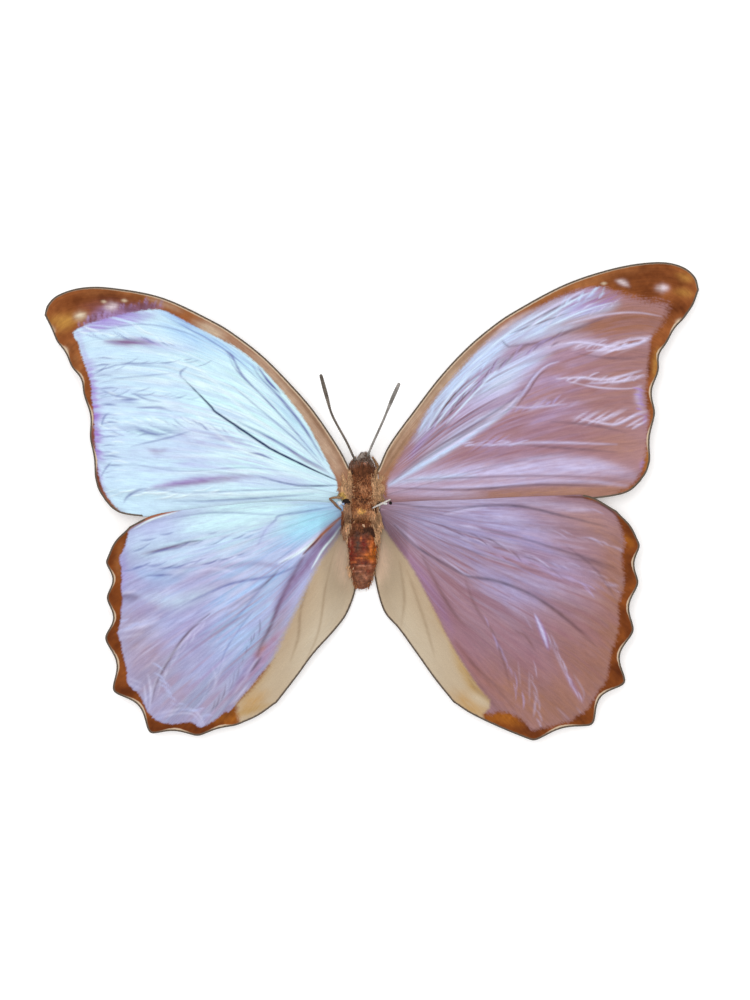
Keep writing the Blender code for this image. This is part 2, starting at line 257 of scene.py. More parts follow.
def barrel(centre, half, rings, sides, squareness=2.0, lean=0.0):
    """A closed ball with poles fore and aft: a unit direction stretched until the sum of its parts to
    the power of the squareness is 1, times the half sizes, and slanted forwards by lean times height."""
    polar = np.linspace(0, math.pi, rings + 2)[1:-1, None]
    turn = np.linspace(0, 2 * math.pi, sides, endpoint=False)[None, :]
    unit = np.stack([np.sin(polar) * np.cos(turn), np.cos(polar) + 0 * turn,
                     np.sin(polar) * np.sin(turn)], axis=-1)
    unit = unit * (np.abs(unit) ** squareness).sum(axis=-1, keepdims=True) ** (-1 / squareness)
    at = np.array(centre) + unit * half
    at[..., 1] += lean * unit[..., 2] * half[2]
    fore, aft = (np.array(centre) + (0, side * half[1], 0) for side in (1, -1))
    return ringed(at, fore, aft)


def scattered(points, faces, count, rng):
    """Random places on a mesh, even by area, with the outward direction at each."""
    a, b, c = (points[faces[:, corner]] for corner in range(3))
    across = np.cross(b - a, c - a)
    area = np.linalg.norm(across, axis=1)
    chosen = rng.choice(len(faces), count, p=area / area.sum())
    s, t = np.sqrt(rng.random((count, 1))), rng.random((count, 1))
    places = a[chosen] * (1 - s) + b[chosen] * s * (1 - t) + c[chosen] * s * t
    return places, across[chosen] / area[chosen, None]


def unit(vectors):
    return vectors / np.linalg.norm(vectors, axis=-1, keepdims=True)


def locks(roots, aims, lengths, radii, sag, rng):
    """Tapered three-sided locks of hair. A lock's line is root + aim * length * s + sag * length * s
    squared, and its rings sit at s = 0, 0.45 and 0.8 with a point at s = 1."""
    count = len(roots)
    side = unit(np.cross(aims, rng.normal(size=(count, 3))))
    other = np.cross(aims, side)
    lengths, radii = lengths[:, None], radii[:, None]
    rings = []
    for s, taper in ((0.0, 0.9), (0.45, 1.0), (0.8, 0.6)):
        middle = roots + aims * lengths * s + sag * lengths * s * s
        for turn in (0, 2 * math.pi / 3, 4 * math.pi / 3):
            rings.append(middle + (side * math.cos(turn) + other * math.sin(turn)) * radii * taper)
    tip = roots + aims * lengths + sag * lengths
    points = np.stack([*rings, tip], axis=1)
    one = [(2, 1, 0)]
    for ring in (0, 3):
        for corner in range(3):
            here, beside = ring + corner, ring + (corner + 1) % 3
            one += [(here, beside, beside + 3), (here, beside + 3, here + 3)]
    one += [(6 + corner, 6 + (corner + 1) % 3, 9) for corner in range(3)]
    faces = (np.array(one)[None] + LOCK_POINTS * np.arange(count)[:, None, None]).reshape(-1, 3)
    points[..., 2] = np.maximum(points[..., 2], REST_GAP)
    return points.reshape(-1, 3), faces


def grain(u, v, seed):
    """Smooth noise from 0 to 1: random numbers on a lattice, blended between its corners."""
    table = np.random.default_rng(seed).random((256, 256))
    i, j = np.floor(u).astype(int), np.floor(v).astype(int)
    s, t = u - i, v - j
    s, t = s * s * (3 - 2 * s), t * t * (3 - 2 * t)
    near = table[i % 256, j % 256] * (1 - s) + table[(i + 1) % 256, j % 256] * s
    far = table[i % 256, (j + 1) % 256] * (1 - s) + table[(i + 1) % 256, (j + 1) % 256] * s
    return near * (1 - t) + far * t


# Hair is this many times lighter than it looks, because locks shade one another
HAIR_LIFT = 2.1


def fur_finish():
    """Matted hair: the lock's own colour, lighter and darker along it, dull and a little rough."""
    finish = Finish("matted_hair", 0.2)
    colour = finish.attribute("hair", "Vector")
    speck = finish.noise(finish.place(), 3.0, 4.0)
    lift = np.array((HAIR_LIFT,) * 3)
    shade = finish.mix(speck.rise(0.35, 0.7), 0.72 * lift, 1.25 * lift)
    return finish.surface(base_color=finish.mix(1.0, colour, shade, "MULTIPLY"), roughness=0.75,
                          normal=finish.bump(speck, 0.05, 0.6))


HAIR = fur_finish()
UMBER, CHOCOLATE, RUSSET = seen(62, 36, 24), seen(98, 58, 36), seen(134, 84, 52)
GOLD, TAN, CREAM = seen(178, 124, 66), seen(172, 134, 100), seen(206, 174, 142)
DUSK, SIENNA = seen(112, 92, 80), seen(160, 112, 78)
THORAX_LOCKS = 12000
# Where the thorax's hair is of another colour: tint, middle x and y, how far it reaches, and its share
THORAX_TUFTS = [
    (CHOCOLATE, -0.5, 4.8, 1.1, 0.95), (CHOCOLATE, -1.6, 2, 0.5, 0.8), (CHOCOLATE, 1.2, 1.8, 0.35, 0.7),
    (SIENNA, 0, 2.4, 0.55, 0.95), (SIENNA, -0.7, 3.1, 0.5, 0.8), (UMBER, -0.1, 0, 0.55, 0.8),
    (UMBER, -1.6, 0.2, 0.35, 0.7), (SIENNA, -1, 0, 0.3, 0.8), (GOLD, -0.5, -2.4, 0.7, 0.8),
    (TAN, 1.6, -1.6, 0.8, 0.6), (UMBER, 2, -1.4, 0.35, 0.7), (CHOCOLATE, -0.4, 6.4, 1.2, 0.8),
]


def tufted(x, y, base, tufts, size, rng):
    """A hair colour for each place: the base tints in patches of grain, then each tuft's own tint,
    drawn with a chance of its share times a bell of the distance."""
    patch = np.clip(grain(x / size + 40, y / size + 40, 5) + rng.normal(0, 0.16, len(x)), 0, 0.999)
    colour = np.array(base)[(patch * len(base)).astype(int)]
    for tint, at_x, at_y, reach, share in tufts:
        bell = share * np.exp(-0.5 * ((x - at_x) ** 2 + (y - at_y) ** 2) / reach ** 2)
        taken = rng.random(len(x)) < bell
        colour[taken] = tint
    return colour * rng.uniform(0.75, 1.25, (len(x), 1))


def thorax():
    """The skin, and the locks that stand on it: swept back, parted at the middle and tousled."""
    rng = np.random.default_rng(11)
    half = np.array(THORAX_HALF) - FUR_DEPTH
    points, faces = barrel(THORAX_CENTRE, half, 60, 90, THORAX_SQUARENESS, THORAX_LEAN)
    points[:, 2] = np.where(points[:, 2] < 1.0, points[:, 2] - FUR_DEPTH * (1.0 - points[:, 2]), points[:, 2])
    points[:, 2] = np.maximum(points[:, 2], REST_GAP)
    skin = np.tile(CHOCOLATE * 0.5, (len(points), 1))
    piece("thorax_skin", points, faces, HAIR, "brown_fur", ["thorax"], {"hair": skin})
    roots, normals = scattered(points, faces, THORAX_LOCKS, rng)
    swirl = 2 * math.pi * grain(roots[:, 0] * 0.5 + 9, roots[:, 1] * 0.5 + 9, 6)
    sweep = np.stack([0.5 * np.cos(swirl) - 0.15 * roots[:, 0], 0.7 * np.sin(swirl) - 0.7, 0 * swirl], axis=1)
    aims = unit(normals * 0.3 + sweep + rng.normal(0, 0.25, (len(roots), 3)))
    lengths = rng.uniform(0.6, 1.1, len(roots))
    sag = unit(rng.normal(size=(len(roots), 3))) * 0.15 - normals * 0.15
    beside = np.abs(roots[:, 0] + 0.35) > 1.95 + rng.normal(0, 0.2, len(roots))
    colour = tufted(roots[:, 0], roots[:, 1], [CHOCOLATE, CHOCOLATE, RUSSET, RUSSET, RUSSET],
                    THORAX_TUFTS, 0.7, rng)
    low = roots[:, 2] < THORAX_CENTRE[2]
    colour[low] = RUSSET * rng.uniform(0.6, 1.1, (low.sum(), 1))
    colour[beside] = TAN * rng.uniform(0.75, 1.2, (beside.sum(), 1))
    points, faces = locks(roots, aims, lengths, rng.uniform(0.045, 0.08, len(roots)), sag, rng)
    piece("thorax_fur", points, faces, HAIR, "brown_fur", (),
          {"hair": np.repeat(colour, LOCK_POINTS, axis=0)})


thorax()


# The abdomen is a shell of overlapping horny rings, dried to a glossy chestnut and shrunk a little
# between them. It is stiff, joins the thorax at the waist, and has sparse pale hair along its sides.
ABDOMEN_START = (-0.5, -4.6, 4.4)
ABDOMEN_LENGTH = 13.2
ABDOMEN_DROOP = math.radians(2)
ABDOMEN_FLATTENING = 0.84
ABDOMEN_RADIUS = 3.05
ABDOMEN_BEND = 0.25
ABDOMEN_PLATES = 8
PLATE_LEDGE = 0.13


def abdomen_surface(along, turn):
    """A point on the abdomen. Its radius falls with the root of 1 - along to the power 3.2 and narrows
    to the waist, plus a ledge that grows over each plate, less creases all over."""
    radius = ABDOMEN_RADIUS * np.sqrt(1 - np.minimum(along, 1) ** 3.2) * (1 - 0.2 * np.exp(-along / 0.08))
    plate = (along * ABDOMEN_PLATES) % 1
    radius = radius + PLATE_LEDGE * plate ** 1.5 * np.clip(radius, 0, 1) - 0.05
    wrinkle = grain(along * 46 + 3, turn * 9 / math.pi + 20, 21) + grain(along * 90, turn * 21 / math.pi, 22)
    radius = radius - 0.16 * (wrinkle - 1) * np.clip(radius, 0, 1)
    x = radius * np.cos(turn) + ABDOMEN_BEND * 4 * along * (1 - along)
    up = radius * np.sin(turn) * ABDOMEN_FLATTENING
    y = -along * ABDOMEN_LENGTH
    c, s = math.cos(ABDOMEN_DROOP), math.sin(ABDOMEN_DROOP)
    return np.array(ABDOMEN_START) + np.stack([x + 0 * y, y * c + up * s, y * s + up * c], axis=-1)


# Ember and blush, as spots on the shell, are painted highlights where its gloss catches the lamp; blush is
# also a hair tint at the neck.
SHELL, SCARLET, EMBER_HIGHLIGHT = seen(122, 62, 34), seen(118, 32, 14), seen(214, 118, 60)
AMBER, OLIVE, CLAY = seen(190, 104, 24), seen(84, 58, 44), seen(138, 90, 64)
BLUSH = seen(196, 134, 108)
# Tint, middle x and y, half width across and along, and strength. The ember and blush spots are
# painted highlights on the glossy shell, and the others are its own colour.
CHESTNUT_SPOTS_AND_HIGHLIGHTS = [
    (SCARLET, -2.5, -9.6, 0.5, 2.4, 0.8), (SCARLET, -0.2, -8.6, 0.6, 1.1, 0.9),
    (OLIVE, -1.3, -9, 0.45, 0.9, 1), (OLIVE, -1.2, -6.9, 0.8, 0.6, 1), (OLIVE, 1.3, -6.6, 0.7, 0.5, 1),
    (EMBER_HIGHLIGHT, 1.6, -9.2, 0.34, 1.2, 1.5), (EMBER_HIGHLIGHT, 0.8, -8.4, 0.15, 0.4, 0.7),
    (SCARLET, 2.3, -9.6, 0.3, 1.6, 0.6), (AMBER, 1.1, -11.3, 0.7, 0.5, 0.9),
    (AMBER, 1.9, -10.6, 0.4, 1.2, 1.2), (EMBER_HIGHLIGHT, 0.5, -10.9, 0.4, 0.15, 0.7),
    (EMBER_HIGHLIGHT, 1.5, -12.2, 0.4, 0.2, 0.8), (SCARLET, -2.1, -11.4, 0.5, 0.6, 0.8),
    (EMBER_HIGHLIGHT, -2, -12.3, 0.5, 0.15, 0.8), (EMBER_HIGHLIGHT, -1, -11.5, 0.5, 0.14, 0.6),
    (SCARLET, 0.2, -12.4, 0.9, 0.35, 0.7), (BLUSH, -0.4, -13, 0.9, 0.14, 0.8),
    (BLUSH, 1.2, -13.2, 0.3, 0.3, 0.6), (CLAY, -0.2, -15.6, 2.2, 1.5, 1),
    (BLUSH, -1, -14.2, 0.5, 0.12, 0.7), (SCARLET, 0.8, -14.2, 0.6, 0.3, 0.5),
    (BLUSH, -2.7, -8.2, 0.12, 0.7, 0.6), (EMBER_HIGHLIGHT, -0.6, -7.6, 0.14, 0.5, 0.5),
    (BLUSH, 0.4, -15.3, 0.4, 0.5, 0.4),
]


def dappled(x, y, colour, spots):
    """The colour of each place with ragged spots laid over it, each a bell of the distance over its
    half widths."""
    for number, (tint, at_x, at_y, across, along, strength) in enumerate(spots):
        ragged = 0.35 + 1.3 * grain(x * 3.1 + 30 + number, y * 3.1 + 60, 31)
        away = ((x - at_x) / across) ** 2 + ((y - at_y) / along) ** 2
        bell = np.clip(strength * ragged * np.exp(-0.5 * away), 0, 1)
        colour = colour * (1 - bell[:, None]) + np.array(tint) * bell[:, None]
    return colour


def shell_finish():
    """Horn: the painted colour with dark pits and amber flecks, and a broken gloss."""
    finish = Finish("chestnut_horn", 0.2)
    at = finish.place()
    blotch = finish.noise(at, 1.1, 4.0, 0.6)
    pit = finish.noise(at, 3.4, 3.0)
    colour = finish.attribute("paint", "Vector")
    colour = finish.mix(1.0, colour, finish.mix(blotch.rise(0.3, 0.7), (0.62, 0.56, 0.56), (1.5, 1.44, 1.4)),
                        "MULTIPLY")
    colour = finish.mix(pit.rise(0.56, 0.70) * 0.6, colour, seen(52, 18, 10))
    return finish.surface(base_color=colour, roughness=0.18 + pit * 0.3,
                          normal=finish.bump(blotch + pit, 0.22, 0.8))


def abdomen():
    """The ringed shell, and the down along its sides and round its tail."""
    rng = np.random.default_rng(12)
    along = np.linspace(0, 1, 202)[1:-1, None]
    turn = np.linspace(0, 2 * math.pi, 120, endpoint=False)[None, :]
    rings = abdomen_surface(along, turn)
    tail = abdomen_surface(np.array([[1.0]]), np.array([[0.0]]))[0, 0]
    points, faces = ringed(rings, rings[0].mean(axis=0), tail)
    paint = dappled(points[:, 0], points[:, 1], np.tile(SHELL, (len(points), 1)), CHESTNUT_SPOTS_AND_HIGHLIGHTS)
    plate = ((ABDOMEN_START[1] - points[:, 1]) / ABDOMEN_LENGTH * ABDOMEN_PLATES) % 1
    ringed_by = 0.3 * np.exp(-((1 - plate) / 0.12) ** 2) + 0.15 * np.exp(-(plate / 0.12) ** 2)
    paint = paint * (1 - ringed_by)[:, None]
    piece("abdomen_shell", points, faces, shell_finish(), "chestnut_shell", ["abdomen"], {"paint": paint})

    roots, normals = scattered(points, faces, 5200, rng)
    beside = np.abs(normals[:, 0]) > 0.84 + 0.2 * rng.random(len(roots)) - 0.3 * (roots[:, 1] < -16)
    roots, normals = roots[beside], normals[beside]
    aims = unit(normals * 0.25 + (0, -1, 0.05) + rng.normal(0, 0.28, (len(roots), 3)))
    left = roots[:, 0] < -1.5
    tints = np.where(left[:, None], CREAM * 0.8, TAN * 0.8) * rng.uniform(0.5, 1.2, (len(roots), 1))
    tints = np.where((roots[:, 1] < -15.5)[:, None], RUSSET * rng.uniform(0.6, 1.3, (len(roots), 1)), tints)
    hair, hair_faces = locks(roots, aims, rng.uniform(0.5, 1.1, len(roots)),
                             rng.uniform(0.03, 0.05, len(roots)), -0.2 * normals, rng)
    piece("abdomen_down", hair, hair_faces, HAIR, "brown_fur", (),
          {"hair": np.repeat(tints, LOCK_POINTS, axis=0)})


abdomen()


# The head is small, hidden under grey-brown hair, with a faceted eye on each side. Two scaly palps
# curve up before the face, and the tongue is rolled between them like a watch spring.
HEAD_CENTRE = (-0.1, 8.0, 3.6)
HEAD_HALF = (1.7, 1.25, 1.65)
# The skin lies this deep in the hair, and narrows forwards from this y on, a little to the right
HEAD_HAIR_DEPTH = (0.4, 0.15, 0.3)
TAPER_START_Y = 7.6
TAPER_LENGTH = 1.5
TAPER_SHARE = 0.55
TAPER_SHIFT = 0.45
# The mouth under the head, from which the palps and the tongue grow
MOUTH_CENTRE = (-0.1, 8.25, 1.9)
MOUTH_HALF = (0.8, 0.6, 1.0)
EYE_OFFSET = (1.08, -0.45, 0.15)
EYE_HALF = (0.6, 0.76, 0.84)
HEAD_LOCKS = 3400
# The pointed tufts beside the antennae's sockets: x, y and how far each leans sideways
HEAD_TUFTS = [(-1.7, 6.9, -0.4), (0.55, 7.6, 0.08), (0.6, 7.9, 0.08), (1.1, 6.9, 0.2)]
HEAD_TUFT_LOCKS = 320
PALP_START = (0.42, 8.2, 1.33)
PALP_END = (0.34, 9.2, 2.33)
PALP_RADIUS = 0.28
COIL_CENTRE = (-0.1, 8.8, 0.8)
COIL_RADIUS = 0.62
COIL_TURNS = 1.75
COIL_TIGHTENS_BY = 0.62
COIL_WIRE_RADIUS = 0.12
PALP_SCALES = 500
SIDES = ((-1, "left"), (1, "right"))


def limb(way, radii, sides, up=(0.0, 0.0, 1.0)):
    """A round limb along a way: at each point of it a ring, across the way's direction, of that point's
    radius. The ends are rounded off by a smaller ring and a pole."""
    heading = unit(np.gradient(way, axis=0))
    way = np.vstack([way[0] - heading[0] * radii[0] * 0.6, way, way[-1] + heading[-1] * radii[-1] * 0.6])
    radii = np.concatenate([[radii[0] * 0.7], radii, [radii[-1] * 0.7]])
    heading = np.vstack([heading[0], heading, heading[-1]])
    side = unit(np.cross(heading, up))
    over = np.cross(side, heading)
    turn = np.linspace(0, 2 * math.pi, sides, endpoint=False)
    ring = side[:, None] * np.cos(turn)[:, None] + over[:, None] * np.sin(turn)[:, None]
    rings = way[:, None] + ring * radii[:, None, None]
    return ringed(rings, way[0] - heading[0] * radii[0] * 0.4, way[-1] + heading[-1] * radii[-1] * 0.4)


def eye_finish():
    """A dark lens cluster: tiny hexagon-like domes under a clear coat."""
    finish = Finish("dark_lenses", 0.5)
    cells = finish.node("ShaderNodeTexVoronoi", {"feature": "F1"}, {"Vector": finish.place(), "Scale": 9.0})
    colour = finish.mix(cells.rise(0.1, 0.7), seen(58, 34, 24), seen(22, 12, 9))
    finish.shader.inputs["Coat Weight"].default_value = 0.5
    return finish.surface(base_color=colour, roughness=0.25, normal=finish.bump(cells, -0.02, 0.7))


def horn_finish(name, pale, dark, ring_gap):
    """Dull horn with fine rings across it, in two tones that drift along the limb."""
    finish = Finish(name, 0.3)
    at = finish.place()
    _, along, _ = finish.parts(at)
    ring = (along * (2 * math.pi / ring_gap)).math("SINE", along * (2 * math.pi / ring_gap))
    drift = finish.noise(at, 0.6, 3.0)
    colour = finish.mix(drift.rise(0.35, 0.65), pale, dark)
    colour = finish.mix(ring.rise(0.3, 1.0) * 0.35, colour, dark * 0.6)
    return finish.surface(base_color=colour, roughness=0.65, normal=finish.bump(ring, 0.02, 0.6))


def head():
    """The skin with the mouth below it, the eyes, and the hair with its tufts."""
    rng = np.random.default_rng(13)
    points, faces = barrel(HEAD_CENTRE, np.array(HEAD_HALF) - HEAD_HAIR_DEPTH, 40, 60)
    front = np.clip((points[:, 1] - TAPER_START_Y) / TAPER_LENGTH, 0, 1)
    aside = (points[:, 0] - HEAD_CENTRE[0]) * (1 - TAPER_SHARE * front)
    points[:, 0] = HEAD_CENTRE[0] + aside + TAPER_SHIFT * front
    points, faces = merged((points, faces), barrel(MOUTH_CENTRE, MOUTH_HALF, 24, 40))
    skin = np.tile(UMBER, (len(points), 1))
    piece("head_skin", points, faces, HAIR, "brown_fur", ["head"], {"hair": skin})
    lenses = eye_finish()
    for side, word in SIDES:
        centre = np.array(HEAD_CENTRE) + np.array(EYE_OFFSET) * (side, 1, 1)
        eye, eye_faces = barrel(centre, EYE_HALF, 40, 56)
        piece(f"eye_ball_{word}", eye, eye_faces, lenses, "dark_eye", [f"eye_{word}"])

    roots, normals = scattered(points, faces, HEAD_LOCKS, rng)
    clear = (np.abs(roots[:, 0] - HEAD_CENTRE[0]) < 1.0) | (roots[:, 1] < HEAD_CENTRE[1] - 0.5)
    roots, normals = roots[clear], normals[clear]
    aims = unit(normals + (0, 0.1, 0.3) + rng.normal(0, 0.35, (len(roots), 3)))
    greys = [DUSK, DUSK * 0.8, seen(142, 130, 122), seen(158, 146, 138)]
    colour = tufted(roots[:, 0], roots[:, 1], greys, [], 0.5, rng)
    hair, hair_faces = locks(roots, aims, rng.uniform(0.3, 0.6, len(roots)),
                             rng.uniform(0.04, 0.08, len(roots)), 0.1 * normals, rng)
    tufts, tuft_colours = [], []
    count = HEAD_TUFT_LOCKS
    for at_x, at_y, lean_x in HEAD_TUFTS:
        root = np.stack([at_x + rng.normal(0, 0.17, count), at_y + rng.normal(0, 0.16, count),
                         HEAD_CENTRE[2] + 1.0 + rng.normal(0, 0.15, count)], axis=1)
        aim = unit(np.array((lean_x, 1.0, 0.25)) + rng.normal(0, 0.2, (count, 3)))
        tufts.append(locks(root, aim, rng.uniform(0.5, 1.2, count), rng.uniform(0.04, 0.07, count),
                           np.zeros((count, 3)), rng))
        tuft_colours.append(seen(88, 70, 60) * rng.uniform(0.6, 1.5, (count, 1)))
    hair, hair_faces = merged((hair, hair_faces), *tufts)
    colour = np.vstack([colour, *tuft_colours])
    piece("head_fur", hair, hair_faces, HAIR, "brown_fur", (),
          {"hair": np.repeat(colour, LOCK_POINTS, axis=0)})


def face():
    """The palps, each a swelling limb under flat-lying scales, and the coiled tongue."""
    rng = np.random.default_rng(14)
    for side, word in SIDES:
        start, end = (np.array((side * x + HEAD_CENTRE[0], y, z)) for x, y, z in (PALP_START, PALP_END))
        along = np.linspace(0, 1, 24)[:, None]
        way = start + (end - start) * along + (0, 0.12, 0) * np.sin(math.pi * along)
        radii = PALP_RADIUS * (0.4 + 0.5 * np.sin(math.pi * np.minimum(0.2 + 0.8 * along[:, 0], 0.93)))
        points, faces = limb(way, radii, 20)
        count = PALP_SCALES
        roots, normals = scattered(points, faces, count, rng)
        aims = unit(normals * 0.45 + unit(end - start) + rng.normal(0, 0.15, (count, 3)))
        hair = locks(roots, aims, rng.uniform(0.25, 0.5, count), rng.uniform(0.02, 0.04, count),
                     0 * normals, rng)
        tints = np.vstack([np.tile(UMBER, (len(points), 1)),
                           np.repeat(DUSK * rng.uniform(0.4, 1.1, (count, 1)), LOCK_POINTS, axis=0)])
        piece(f"palp_{word}_scaly", *merged((points, faces), hair), HAIR, "brown_fur", [f"palp_{word}"],
              {"hair": tints})
    along = np.linspace(0, 1, 160)
    angle = math.pi * (2 * COIL_TURNS * along + 0.5)
    radius = COIL_RADIUS * (1 - COIL_TIGHTENS_BY * along)
    way = COIL_CENTRE + np.stack([0 * angle, radius * np.cos(angle), radius * np.sin(angle)], axis=1)
    wire = COIL_WIRE_RADIUS * (1 - 0.35 * along)
    points, faces = limb(way, wire, 12, up=(1.0, 0.0, 0.0))
    piece("tongue_coil", points, faces, horn_finish("tongue_horn", seen(120, 82, 48), seen(70, 44, 26), 0.12),
          "grey_brown_horn", ["proboscis"])


head()
face()


# The antennae are thin ringed threads of grey-brown horn that swell to slim clubs. Each stands in a
# socket between the eyes and is held only there.
ANTENNA_LEFT = [(-1.75, 8.0, 5.0), (-2.25, 8.9, 5.4), (-3.45, 11.5, 6.4), (-6.2, 16.6, 8.0),
                (-7.3, 20.2, 8.9), (-8.5, 24.6, 9.55)]
ANTENNA_RIGHT = [(0.75, 8.75, 4.95), (1.65, 11.0, 6.1), (3.7, 15.5, 7.8), (5.5, 19.8, 9.0), (6.9, 22.9, 9.55)]
ANTENNA_RADIUS = 0.23
CLUB_RADIUS = 0.39
CLUB_STARTS_AT = 0.62


def smooth_curve(points, count):
    """A Catmull-Rom curve through the points, read at evenly spaced places along its length: each span
    is half of 2 start + (stop - before) t + (2 before - 5 start + 4 stop - after) t squared +
    (3 start - before - 3 stop + after) t cubed."""
    knots = np.array(points, float)
    ends = np.vstack([2 * knots[0] - knots[1], knots, 2 * knots[-1] - knots[-2]])
    t = np.linspace(0, 1, 12, endpoint=False)[:, None]
    spans = []
    for before, start, stop, after in zip(ends, ends[1:], ends[2:], ends[3:]):
        spans.append(0.5 * (2 * start + (stop - before) * t
                            + (2 * before - 5 * start + 4 * stop - after) * t ** 2
                            + (3 * start - before - 3 * stop + after) * t ** 3))
    dense = np.vstack([*spans, knots[-1:]])
    length = np.concatenate([[0], np.cumsum(np.linalg.norm(np.diff(dense, axis=0), axis=1))])
    wanted = np.linspace(0, length[-1], count)
    return np.stack([np.interp(wanted, length, dense[:, axis]) for axis in range(dense.shape[1])], axis=1)


def antenna(word, way, pale, dark):
    """A limb that swells into its club and is waisted at every fifth ring."""
    way = smooth_curve(way, 220)
    into_club = np.maximum(0, (np.linspace(0, 1, len(way)) - CLUB_STARTS_AT) / (1 - CLUB_STARTS_AT))
    radii = ANTENNA_RADIUS + (CLUB_RADIUS - ANTENNA_RADIUS) * np.sin(0.8 * math.pi * into_club)
    radii = radii * (1 + 0.06 * np.cos(np.arange(len(way)) * 2 * math.pi / 5))
    points, faces = limb(way, radii, 14)
    piece(f"antenna_{word}_ringed", points, faces, horn_finish(f"antenna_horn_{word}", pale, dark, 0.5),
          "grey_brown_horn", [f"antenna_{word}"])


# Both antennae are one grey-brown horn, painted lighter on the right and darker on the left as light and
# shade.
antenna("left", ANTENNA_LEFT, seen(128, 116, 104), seen(88, 78, 70))
antenna("right", ANTENNA_RIGHT, seen(168, 162, 156), seen(120, 114, 108))


# The six legs are folded under the body and carry it. They are thin jointed tubes of horn, covered in
# flat tan scales, with short spines along the shins.
FORE_LEG = [(2.6, 5.3, 1.7, 0.26), (2.7, 6.6, 1.4, 0.26), (2.2, 7.7, 1.1, 0.22), (1.7, 8.5, 1.0, 0.16)]
MIDDLE_LEG = [(3.5, 2.4, 0.95, 0.36), (4.7, 3.4, 1.8, 0.42), (6.6, 4.4, 2.2, 0.34), (7.7, 2.3, 1.4, 0.27),
              (8.6, -0.2, 0.5, 0.24), (8.4, -2.4, 0.2, 0.2), (7.9, -4.6, 0.18, 0.18)]
HIND_LEG = [(3.3, -1.9, 0.95, 0.36), (4.5, -3.0, 1.7, 0.42), (6.2, -4.4, 2.0, 0.34), (6.6, -7.0, 1.2, 0.27),
            (6.9, -9.6, 0.5, 0.24), (6.4, -11.6, 0.2, 0.2), (5.8, -13.8, 0.18, 0.18)]
LEG_SCALES = 420
LEG_JOINTS = {"foreleg": (0.35, 0.7), "middle_leg": (0.30, 0.62), "hind_leg": (0.27, 0.60)}


def leg(kind, way, side, word, seed):
    """A limb that is pinched at its joints and beaded along its foot, with spines along it."""
    rng = np.random.default_rng(seed)
    fine = smooth_curve(way, 150)
    along = np.linspace(0, 1, len(fine))
    radii = fine[:, 3] * (0.98 + 0.05 * np.sin(along * 7))
    for joint in LEG_JOINTS[kind]:
        radii = radii * (1 - 0.3 * np.exp(-((along - joint) / 0.012) ** 2))
    radii = radii * (1 - 0.12 * (along > 0.62) * (0.5 + 0.5 * np.cos(along * 2 * math.pi * 16)))
    line = fine[:, :3] * (side, 1, 1)
    points, faces = limb(line, radii, 16)
    count = LEG_SCALES
    roots, normals = scattered(points, faces, count, rng)
    heading = unit(np.gradient(line, axis=0))[np.abs(roots[:, None, 1] - line[None, :, 1]).argmin(axis=1)]
    aims = unit(heading + normals * 0.7 + rng.normal(0, 0.1, (count, 3)))
    hair = locks(roots, aims, rng.uniform(0.12, 0.4, count), rng.uniform(0.012, 0.025, count),
                 0 * normals, rng)
    tints = np.vstack([np.tile(TAN * 0.7, (len(points), 1)),
                       np.repeat(TAN * rng.uniform(0.4, 1.2, (count, 1)), LOCK_POINTS, axis=0)])
    piece(f"{kind}_{word}_scaly", *merged((points, faces), hair), HAIR, "tan_scales", [f"{kind}_{word}"],
          {"hair": tints})


for side, word in SIDES:
    leg("foreleg", FORE_LEG, side, word, 15)
    leg("middle_leg", MIDDLE_LEG, side, word, 16)
    leg("hind_leg", HIND_LEG, side, word, 17)


# The wings are dry membranes stretched on stiff veins and covered with pearly scales above and brown
# ones below. They grow from the thorax, and the front edge of each hind wing lies over the fore wing.
WING_THICKNESS = 0.16
ROOT_HEIGHT = 5.0
ROOT_HALF_GAP = 3.0
RISE_PER_MM = 0.10
DROOP_PER_CUBIC_MM = 8.0e-6
PLEAT_HEIGHT = 0.14
OVERLAP_LIFT = 0.42
OVERLAP_SHARE = 0.22
# The anal field of a hind wing, tucked down under the abdomen
TUCK_DEPTH = 3.9
TUCK_OUTER_X = 9.0
TUCK_INNER_X = 2.5
TUCK_STATIONS_Y = [-42.0, -26.0, -17.0, -7.0, -4.5, -2.0]
TUCK_SHARES = [0.0, 0.45, 1.0, 1.0, 0.55, 0.0]
WING_COLUMNS = 312
WING_ROWS = 240
MARGIN_ROUNDING = 0.55

# Edges run outwards from the body, and the outer margin from front to back. A margin point is a vein's
# end, and its third number is the depth of the notch that follows it.
FORE_LEFT = {
    "root": [(-2.75, 6.1), (-3.4, -0.7)],
    "front": [(-5.0, 10.4), (-10.0, 17.8), (-15.0, 23.5), (-20.0, 28.5), (-25.0, 32.4), (-30.0, 35.5),
              (-40.0, 40.1), (-50.0, 42.0), (-56.0, 42.0), (-60.5, 40.6), (-62.6, 38.6)],
    "margin": [(-63.2, 36.6, 0.1), (-60.8, 31.4, 0.35), (-57.9, 26.4, 0.75), (-55.4, 20.8, 0.7),
               (-54.2, 12.2, 0.3), (-53.2, 4.4, -0.35), (-51.2, -0.1, 0.0)],
    "back": [(-5.6, -0.9), (-12.0, -1.7), (-25.0, -2.6), (-36.0, -3.4), (-43.0, -3.3), (-47.4, -2.8),
             (-49.6, -1.8)],
}
